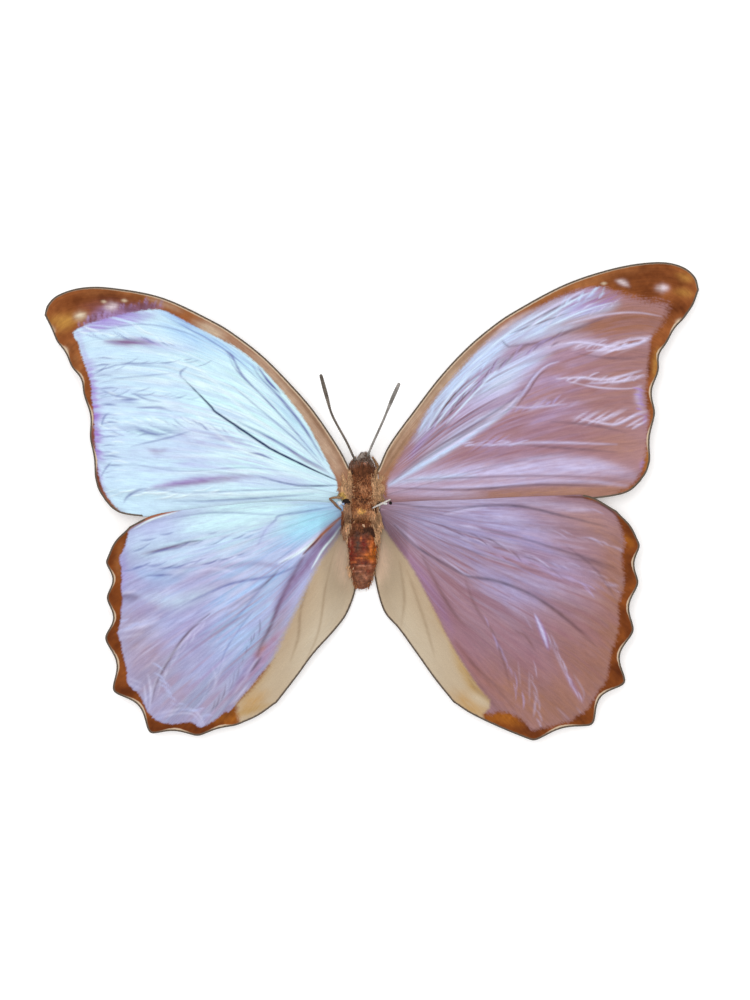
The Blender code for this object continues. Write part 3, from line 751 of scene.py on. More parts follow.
FORE_RIGHT = {
    "root": [(2.75, 6.1), (3.4, -0.7)],
    "front": [(5.0, 11.0), (10.0, 17.9), (15.0, 24.4), (20.0, 29.8), (25.0, 34.1), (30.0, 37.5),
              (40.0, 42.8), (50.0, 46.0), (58.0, 47.1), (62.8, 46.3), (65.5, 44.2)],
    "margin": [(66.3, 41.6, -0.35), (63.5, 36.1, 0.35), (60.0, 31.3, 0.8), (58.3, 25.6, 1.05),
               (57.6, 17.1, 0.6), (56.6, 7.6, -0.3), (54.6, 3.6, 0.0)],
    "back": [(5.6, -0.9), (12.0, -1.3), (25.0, -1.0), (36.0, -0.6), (43.0, 0.0), (49.5, 0.8),
             (52.6, 1.8)],
}
HIND_LEFT = {
    "root": [(-3.3, -0.6), (-2.9, -4.7)],
    "front": [(-7.0, -0.5), (-12.0, -0.2), (-20.0, -0.4), (-30.0, -1.3), (-37.0, -2.1), (-42.0, -3.1)],
    "margin": [(-46.3, -5.2, -0.7), (-51.1, -12.1, 1.3), (-50.9, -19.3, 1.5), (-51.3, -27.3, 1.6),
               (-49.8, -37.8, 2.0), (-42.4, -46.3, 0.8), (-32.8, -46.8, 0.35), (-25.0, -44.6, -0.4),
               (-17.3, -40.2, 0.0)],
    "back": [(-2.2, -8.0), (-1.7, -12.0), (-1.5, -17.0), (-3.1, -22.0), (-5.4, -25.4), (-9.9, -30.4),
             (-13.2, -34.9)],
}
HIND_RIGHT = {
    "root": [(3.3, -0.6), (2.9, -4.7)],
    "front": [(7.0, -0.4), (13.0, -0.1), (21.0, 0.1), (30.0, 0.6), (39.0, 0.9), (44.5, 0.8)],
    "margin": [(49.9, -2.1, -0.6), (54.6, -8.8, 1.0), (54.3, -16.4, 1.4), (53.4, -25.8, 2.0),
               (51.8, -36.2, 2.2), (45.3, -44.6, 1.0), (33.6, -47.8, -0.1), (24.0, -43.8, -0.2),
               (17.7, -40.1, 0.0)],
    "back": [(2.2, -8.0), (1.8, -12.0), (2.4, -17.0), (4.0, -22.2), (6.9, -25.6), (10.3, -30.3),
             (14.0, -35.5)],
}


def scalloped_margin(margin, inside, columns):
    """The outer margin and how far into a notch each of its points is. From vein end to vein end it is a
    chord that dips inwards by depth times sine(pi t) to the power 1.6, then rounded by a short average."""
    spans = len(margin) - 1
    t = np.arange(columns + 1) * spans / columns
    span = np.minimum(t.astype(int), spans - 1)
    t = t - span
    ends = np.array(margin)
    start, chord = ends[span, :2], (ends[1:, :2] - ends[:-1, :2])[span]
    inward = unit(np.stack([-chord[:, 1], chord[:, 0]], axis=1))
    inward = inward * np.sign(np.einsum("ij,ij->i", inward, inside - start))[:, None]
    dip = np.sin(math.pi * np.clip(t, 0, 1)) ** 1.6
    found = start + chord * t[:, None] + inward * (ends[span, 2] * dip)[:, None]
    step = np.linalg.norm(np.diff(found, axis=0), axis=1).mean()
    reach = int(3 * MARGIN_ROUNDING / step)
    bell = np.exp(-0.5 * (np.arange(-reach, reach + 1) * step / MARGIN_ROUNDING) ** 2)
    bell = bell / bell.sum()
    mirrored = np.vstack([2 * found[0] - found[reach:0:-1], found, 2 * found[-1] - found[-2:-reach - 2:-1]])
    rounded = np.stack([np.convolve(mirrored[:, axis], bell, "valid") for axis in range(2)], axis=1)
    return rounded, dip * (ends[span, 2] > 0.2), t


def deck_height(x, y):
    """The height of the spread wings over a point: they rise from the root and droop to the tips."""
    return ROOT_HEIGHT + RISE_PER_MM * (np.abs(x) - ROOT_HALF_GAP) - DROOP_PER_CUBIC_MM * np.hypot(x, y) ** 3


def tuck(x, y):
    """How far the hind wing is let down beside and under the abdomen."""
    near = np.clip((TUCK_OUTER_X - np.abs(x)) / (TUCK_OUTER_X - TUCK_INNER_X), 0, 1)
    return TUCK_DEPTH * np.interp(y, TUCK_STATIONS_Y, TUCK_SHARES) * near ** 2 * (3 - 2 * near)


def wing_sheet(outline, is_hind):
    """The wing's middle surface as columns by rows of points, blended between its four edges: the two
    side blends plus the two end blends less the blend of the four corners. Also its across and outward
    shares, its notches and its plan edges."""
    inside = np.mean([edge[:2] for edge in outline["margin"]], axis=0) * 0.5
    margin, notch, phase = scalloped_margin(outline["margin"], inside, WING_COLUMNS)
    along = np.concatenate([[0], np.cumsum(np.linalg.norm(np.diff(margin, axis=0), axis=1))])
    across = (along / along[-1])[:, None, None]
    outwards = np.linspace(0, 1, WING_ROWS + 1)[None, :, None]
    root_front, root_back = (np.array(corner) for corner in outline["root"])
    front = smooth_curve([root_front, *outline["front"], margin[0]], WING_ROWS + 1)
    back = smooth_curve([root_back, *outline["back"], margin[-1]], WING_ROWS + 1)
    root = root_front + (root_back - root_front) * across
    corners = ((1 - across) * (1 - outwards) * root_front + across * (1 - outwards) * root_back
               + (1 - across) * outwards * margin[0] + across * outwards * margin[-1])
    plan = ((1 - across) * front[None] + across * back[None]
            + (1 - outwards) * root + outwards * margin[:, None, :] - corners)
    x, y = plan[..., 0], plan[..., 1]
    across, outwards = across[..., 0], outwards[..., 0]
    height = deck_height(x, y) + PLEAT_HEIGHT * outwards * np.cos(2 * math.pi * phase)[:, None]
    if is_hind:
        height = height + OVERLAP_LIFT * np.sqrt(np.clip(1 - across / OVERLAP_SHARE, 0, 1)) - tuck(x, y)
    else:
        height = height - OVERLAP_LIFT * np.sqrt(np.clip(1 - (1 - across) / OVERLAP_SHARE, 0, 1))
    return x, y, height, across + 0 * x, outwards + 0 * x, notch[:, None] + 0 * x, (front, margin, back)


def distance(x, y, path):
    """How far each place is from a line of points, and the share along the line of its nearest point."""
    best, share = np.full(x.shape, 1e9), np.zeros(x.shape)
    for number, ((x0, y0), (x1, y1)) in enumerate(zip(path, path[1:])):
        run_x, run_y = x1 - x0, y1 - y0
        t = np.clip(((x - x0) * run_x + (y - y0) * run_y) / (run_x ** 2 + run_y ** 2 + 1e-12), 0, 1)
        found = (x - x0 - t * run_x) ** 2 + (y - y0 - t * run_y) ** 2
        closer = found < best
        best = np.where(closer, found, best)
        share = np.where(closer, (number + t) / (len(path) - 1), share)
    return np.sqrt(best), share


def within(x, y, outline, softness):
    """The distance to a closed outline over the softness of its edge there, positive inside it: a place
    is inside if a ray to +X crosses the outline an odd number of times. A point of the outline may
    have a softness of its own."""
    knots = [(*point, softness)[:3] for point in outline]
    ring = smooth_curve([*knots, knots[0]], 6 * len(knots))
    inside = np.zeros(x.shape, bool)
    for (x0, y0, _), (x1, y1, _) in zip(ring, ring[1:]):
        crosses = (y0 > y) != (y1 > y)
        inside ^= crosses & (x < (x1 - x0) * (y - y0) / (y1 - y0 + 1e-12) + x0)
    reach, share = distance(x, y, ring[:, :2])
    soft = np.interp(share, np.linspace(0, 1, len(ring)), np.maximum(ring[:, 2], 0.25))
    return np.where(inside, reach, -reach) / soft


def brushed(x, y, line, half_width):
    """How much of a brush stroke lies over each place: a bell of the distance to its line, which swells
    from the start and fades out to the end."""
    path = smooth_curve(line, max(2, 5 * len(line) - 5))
    reach = 3.2 * half_width
    near = ((x > path[:, 0].min() - reach) & (x < path[:, 0].max() + reach)
            & (y > path[:, 1].min() - reach) & (y < path[:, 1].max() + reach))
    cover = np.zeros(x.shape)
    away, share = distance(x[near], y[near], path)
    long = np.clip(np.linalg.norm(path[-1] - path[0]) / (6 * half_width), 0, 1)
    swell = 1 - long * (1 - np.sin(math.pi * (0.06 + 0.9 * share)) ** 0.6)
    cover[near] = np.exp(-0.5 * (away / (half_width * (0.45 + 0.55 * swell))) ** 2) * swell
    return cover


def barbs(tint, half_width, strength, guide, gap, length, turn, seed):
    """Rows of brushwork for short slanting strokes along a guide line, like the vanes of a feather: one
    every gap, each turned from the guide by this many degrees, with their places, lengths and angles
    shaken a little."""
    rng = np.random.default_rng(seed)
    reach = np.linalg.norm(np.diff(np.array(guide, float), axis=0), axis=1).sum()
    path = smooth_curve(guide, max(3, int(reach / gap)))
    heading = unit(np.gradient(path, axis=0))
    found = []
    for (x, y), (ahead_x, ahead_y) in zip(path, heading):
        angle = math.atan2(ahead_y, ahead_x) + math.radians(turn + rng.normal(0, 6))
        x, y = x + rng.normal(0, 0.25 * gap), y + rng.normal(0, 0.25 * gap)
        run = length * rng.uniform(0.55, 1.3)
        end = (x + run * math.cos(angle), y + run * math.sin(angle))
        bow = (x + 0.5 * run * math.cos(angle + 0.12), y + 0.5 * run * math.sin(angle + 0.12))
        found.append((tint, half_width * rng.uniform(0.7, 1.3), strength * rng.uniform(0.5, 1.2),
                      x, y, *bow, *end))
    return found


def brushwork(*rows):
    """Brush strokes in the order that they are laid. A row is the stroke's tint, half width and strength,
    its slant if it is combed, and then the x and y of each point on its way."""
    found = []
    for row in rows:
        begin = 3 if len(row) % 2 else 4
        found.append((*row[:3], list(zip(row[begin::2], row[begin + 1::2])), *row[3:begin]))
    return found


def combed(across, outwards, slant, fineness, seed):
    """Fine parallel streaks: grain that is drawn out along the veins, or along lines that slant
    forwards from them by this share of the wing's breadth over its length."""
    streak = grain((across + slant * outwards) * fineness, outwards * 8, seed)
    return np.clip((streak - 0.38) * 3.2, 0, 1)


# How far a stroke of each kind stands up from the wing, or is pressed into it, at full strength. The
# pale strokes on the raised streaks and wrinkles are painted highlights, and the dark crease strokes in
# the pressed ones painted shade.
COMB_FINENESS = 95.0
STROKE_RELIEF = {"frost": 0.06, "sheen": 0.06, "ice": 0.02, "ink": -0.07, "crease": -0.05, "umber": -0.05}


def painted(x, y, across, outwards, base, palette, strokes, seed):
    """Colour and relief from brush strokes laid one over another. Each stroke is dry in places, where a
    grain that is drawn out along the wing's veins shows through it. A stroke with a fifth number is
    combed into streaks with that slant."""
    colour = np.tile(palette[base], (*x.shape, 1))
    relief = np.zeros(x.shape)
    dry = (0.6 * grain(across * 150, outwards * 24, seed)
           + 0.4 * grain(across * 60 + 9, outwards * 60, seed + 1))
    for number, (tint, half_width, strength, line, *slant) in enumerate(strokes):
        pressed = strength * (1.3 if half_width < 0.25 else 1.0)
        cover = pressed * brushed(x, y, line, half_width) * (0.62 + 0.76 * dry)
        if slant:
            cover = cover * combed(across, outwards, slant[0], COMB_FINENESS, seed + 50 + number)
        cover = np.clip(cover, 0, 1)
        colour = colour * (1 - cover[..., None]) + palette[tint] * cover[..., None]
        if half_width < 0.6 or slant:
            relief = relief + STROKE_RELIEF.get(tint, 0.0) * cover
    return colour, relief


# The left and right wings carry the same pearly scales, painted in two lightings: the left palette with the
# bright blue-white sheen that the scales reflect, the right one mauve and brown as they look without it, as
# if lit from one side. The pale strokes are painted highlights along raised wrinkles and streaks, and the
# dark crease strokes painted shade in the pressed ones.
PEARL_LEFT_LIT = {
    "base": seen(203, 233, 249), "ice": seen(212, 251, 253), "sky": seen(160, 206, 245),
    "blue": seen(132, 160, 224), "ink": seen(36, 54, 96), "crease": seen(112, 120, 176),
    "lilac": seen(190, 198, 238), "violet": seen(160, 126, 204), "rose": seen(138, 110, 150),
    "frost": seen(232, 250, 255), "mauve": seen(166, 156, 198), "dusk": seen(166, 146, 164),
    "umber": seen(92, 66, 84), "pearl": seen(168, 172, 214), "rust": seen(168, 108, 84),
    "aqua": seen(170, 232, 250), "white": seen(222, 222, 250),
}
PEARL_RIGHT_SHADED = {
    "base": seen(168, 128, 134), "ice": seen(200, 222, 252), "sky": seen(164, 156, 198),
    "blue": seen(152, 146, 180), "ink": seen(70, 56, 76), "crease": seen(112, 84, 98),
    "lilac": seen(178, 160, 202), "violet": seen(164, 132, 212), "rose": seen(148, 104, 116),
    "frost": seen(220, 214, 244), "mauve": seen(158, 124, 134), "dusk": seen(158, 112, 94),
    "umber": seen(108, 72, 72), "sheen": seen(200, 192, 226), "tan": seen(174, 128, 106),
    "rust": seen(156, 96, 68), "snow": seen(216, 234, 255),
}

# A field is the outline of a wing's pearly part, and a point's third number is how soft the edge is there.
# The strokes are laid over it in their order, wide soft ones first and veins and barbs last.
FORE_LEFT_FIELD = [
    (-5, 1), (-5.2, 2.4), (-5.6, 4.2), (-6.8, 6.7), (-8.3, 9.6), (-11.4, 15.3), (-15.5, 20.7), (-20, 25.9),
    (-25, 30), (-30, 32.6), (-35, 35.2), (-40, 37.6), (-45, 37.3), (-50, 36.2), (-54, 35), (-57.5, 33.2),
    (-56.5, 31), (-56, 29), (-55.3, 27), (-54.6, 25), (-54, 23), (-53.8, 20), (-53.5, 17.5), (-53.3, 13),
    (-52.9, 8), (-51.9, 3), (-50.3, 0), (-48.5, -2), (-46, -4), (-40, -7), (0, -7), (-3, 0),
]
FORE_LEFT_STROKES = brushwork(
    ("ice", 7, 0.9, -6, 4, -20, 13, -34, 26), ("ice", 4, 0.7, -14, 16, -26, 28),
    ("ice", 2.2, 0.6, -30, 8, -12, 6), ("lilac", 3, 0.25, -52, 30, -51, 15, -49, 3),
    ("lilac", 1.7, 0.6, -24, 11.5, -35, 13, -45, 10.5), ("lilac", 1.1, 0.45, -40, 20, -36, 17.5),
    ("lilac", 0.9, 0.4, -48, 8.6, -38, 9, -30, 10), ("sky", 0.8, 0.6, -22, 26, -30, 31.5, -40, 37),
    ("sky", 0.7, 0.4, -10, 9, -15, 17, -22, 25), ("lilac", 9, 0.55, -0.05, -12, 5, -34, 14, -50, 18),
    ("frost", 9, 0.5, 0, -12, 8, -30, 20, -48, 28),
    ("mauve", 1.4, 0.5, -0.1, -22, 11, -29, 12.6, -36, 11.8),
    ("mauve", 0.7, 0.6, -41, 2.6, -32, 3.8, -23, 4.6), ("ice", 0.8, 0.5, -8, 1.2, -20, 1.5, -32, 0.9),
    ("ice", 1.2, 0.6, -46, 13.6, -41, 13.4, -36, 14.4), ("sky", 1.2, 0.45, -40, 34.4, -35, 32, -30, 28.6),
    ("crease", 1.1, 0.5, -0.1, -38, 19.2, -46, 20.4, -53, 21.6),
    ("crease", 0.9, 0.45, 0.25, -34, 13.6, -42, 13.6, -52, 13.8),
    ("crease", 1, 0.35, -0.1, -38, 26.6, -46, 26.4, -54, 25.4),
    ("blue", 0.9, 0.55, 0.3, -21, 25.4, -30, 31, -40, 36.2),
    ("violet", 0.9, 0.9, 0.15, -54.2, 28, -53.4, 20, -52.6, 10, -51.4, 3),
    ("violet", 1.1, 1.1, 0.3, -57, 33, -50, 35.6, -42, 36.8),
    ("lilac", 2, 0.5, 0, -8, 3.4, -26, 6.6, -46, 6.4), ("blue", 0.5, 0.6, -33, 34, -38, 37, -41, 37.6),
    ("violet", 0.55, 0.6, -57, 33.5, -56, 31, -55, 27.5, -53.8, 23, -53.2, 17, -53, 10, -52, 3, -49.5,
     -1.2), ("violet", 0.7, 0.5, -55, 35.2, -50, 36.4, -44, 37.4),
    ("lilac", 0.6, 0.5, -55.5, 33.9, -48, 35.6, -41, 36.8),
    ("rose", 0.42, 0.6, -43, 2, -37, 3.1, -30, 4, -22, 4.7),
    ("violet", 0.35, 0.4, -42, 2.6, -35, 3.8, -28, 4.5), ("lilac", 0.6, 0.5, -26, 4.3, -18, 4.3, -10, 2.9),
    ("lilac", 0.5, 0.5, -38, 7, -32, 7.2, -26, 7),
    ("rose", 0.5, 1, -51, 31.4, -48, 31.2, -44, 31.2, -40.5, 30.7),
    ("violet", 0.8, 0.5, 0.3, -51, 31.6, -46, 31.4, -38, 30.6),
    ("lilac", 0.7, 0.45, -44, 30.6, -39, 30.4, -33, 29.9),
    ("rose", 0.4, 0.35, -43, 10.2, -41, 9.6, -39, 10), ("rose", 0.4, 0.4, -50, -1.5, -47, -2.6),
    ("ink", 0.14, 1.2, -5, 3.7, -12, 6.9, -18.6, 10.2, -19.2, 10.6, -29.2, 17.3, -29.6, 17.8, -32.6, 20.9,
     -35.8, 24.1), ("crease", 0.18, 0.5, -36, 24.1, -36.3, 25.2, -35, 26.3),
    ("crease", 0.2, 0.65, -7.5, 6, -12, 8.3, -16, 10.8, -20.5, 13.3, -25, 15.5),
    ("rose", 0.25, 0.5, -7, 5.4, -12, 8, -15, 10.2),
    ("crease", 0.15, 0.4, -8, 6.5, -13, 11.5, -20, 17.5, -26, 22.5),
    ("crease", 0.15, 0.5, -8.5, 7.5, -14, 14, -20, 20.5, -25.5, 26, -27, 29.5),
    ("crease", 0.22, 0.65, -8, 8, -12, 14.5, -16, 19.5, -20.3, 24, -22, 26.5),
    ("crease", 0.18, 0.8, -16.5, 21, -19, 23.6, -21, 26.4),
    ("crease", 0.18, 0.6, -22, 22.5, -24.5, 25.3, -26.5, 29.3),
    ("crease", 0.2, 0.5, -25.5, 27.5, -26.3, 28.6, -27.5, 29.6),
    ("crease", 0.15, 0.8, -22.8, 9.4, -20.5, 9, -18, 8),
    ("crease", 0.18, 0.45, -5.3, 2.9, -9, 2.8, -15, 3.2, -20, 4.5, -23, 5.2),
    ("ink", 0.12, 0.4, -5.2, 2.9, -8.5, 2.8, -14, 2.7),
    ("crease", 0.18, 0.45, -10, 1.2, -20, 0.4, -30, -0.2, -38, -0.3),
    ("crease", 0.22, 0.55, -47.5, -0.5, -46.8, 0.6, -45, 1.7, -43, 2.3),
    ("crease", 0.13, 0.4, -54, 25, -48, 26.8, -40, 27),
    ("crease", 0.16, 0.55, -52, 21.8, -49, 20.6, -45, 20),
    ("crease", 0.14, 0.5, -46, 21.2, -43, 19.9, -40, 19.4), ("crease", 0.14, 0.55, -48, 19.8, -44, 19.9),
    ("crease", 0.15, 0.55, -45, 18.2, -40.5, 18.3, -38, 17.5), ("crease", 0.15, 0.5, -52, 19, -49, 18.8),
    ("crease", 0.15, 0.45, -34, 15.8, -32.5, 15.2, -31, 13.9),
    ("crease", 0.14, 0.5, -45, 14, -41, 13, -38, 13.3),
    ("crease", 0.14, 0.45, -45, 12.6, -42.5, 13.2, -40, 12.5),
    ("crease", 0.14, 0.45, -46, 10.6, -38, 12.5, -34, 13.8),
    ("crease", 0.16, 0.5, -52, 14.5, -51.3, 16.5, -50.4, 17.2),
    ("crease", 0.14, 0.45, -50, 7.5, -51.2, 6, -52, 4.6),
    ("crease", 0.13, 0.4, -47, 0.5, -42, 2, -35, 1.3, -25, 1.8, -10, 2.3),
    ("crease", 0.13, 0.35, -50, 24, -42, 24.7, -37, 25.2),
    ("crease", 0.13, 0.3, -52, 33.6, -44, 34.8, -36, 33.4, -30, 30.5),
    ("crease", 0.12, 0.3, -40, 36.6, -32, 32.5, -26, 28.6, -18, 21),
    ("crease", 0.12, 0.3, -46, 7.2, -36, 5.6, -24, 6.4, -12, 5.3),
    *barbs("crease", 0.1, 0.5, [(-53.2, 28), (-52.4, 20), (-52, 12), (-51, 4)], 1.1, 3.2, 88, 41),
    *barbs("crease", 0.1, 0.45, [(-37, 30.2), (-45, 31.8), (-53, 32.2)], 1.3, 3, -22, 42),
    *barbs("frost", 0.13, 0.59, [(-36, 30.8), (-45, 32.6), (-54, 33.2)], 1.6, 3.4, -16, 43),
    *barbs("crease", 0.09, 0.4, [(-30, 27.6), (-42, 27.6), (-53, 26.2)], 1.8, 3, 14, 44),
    *barbs("frost", 0.12, 0.51, [(-30, 15.5), (-40, 15.4), (-52, 14)], 1.5, 3.2, -24, 45),
    *barbs("crease", 0.1, 0.4, [(-33, 20.5), (-42, 21.5), (-52, 21.5)], 1.6, 2.6, 20, 46),
    *barbs("frost", 0.12, 0.51, [(-26, 2.4), (-36, 1.6), (-49, 2.4)], 1.8, 4, 10, 47),
    *barbs("crease", 0.09, 0.35, [(-24, 12.8), (-36, 14.4), (-50, 12.4)], 1.3, 2.6, -30, 48),
    *barbs("frost", 0.12, 0.47, [(-50, 23), (-50.5, 12), (-49.5, 4)], 1.5, 3, 82, 49),
    ("frost", 0.3, 0.51, -7, 3.6, -16, 6.6, -26, 11, -34, 17.6),
    ("frost", 0.25, 0.42, -12, 9.4, -22, 16.4, -32, 25.2, -40, 28.8),
    ("frost", 0.35, 0.51, -9, 1.9, -22, 1.2, -36, 1, -46, 1.6),
    ("frost", 0.3, 0.42, -10, 4.2, -20, 5.6, -30, 5.6, -42, 5),
    ("frost", 0.25, 0.42, -20, 8.2, -30, 8.8, -40, 8.2),
)

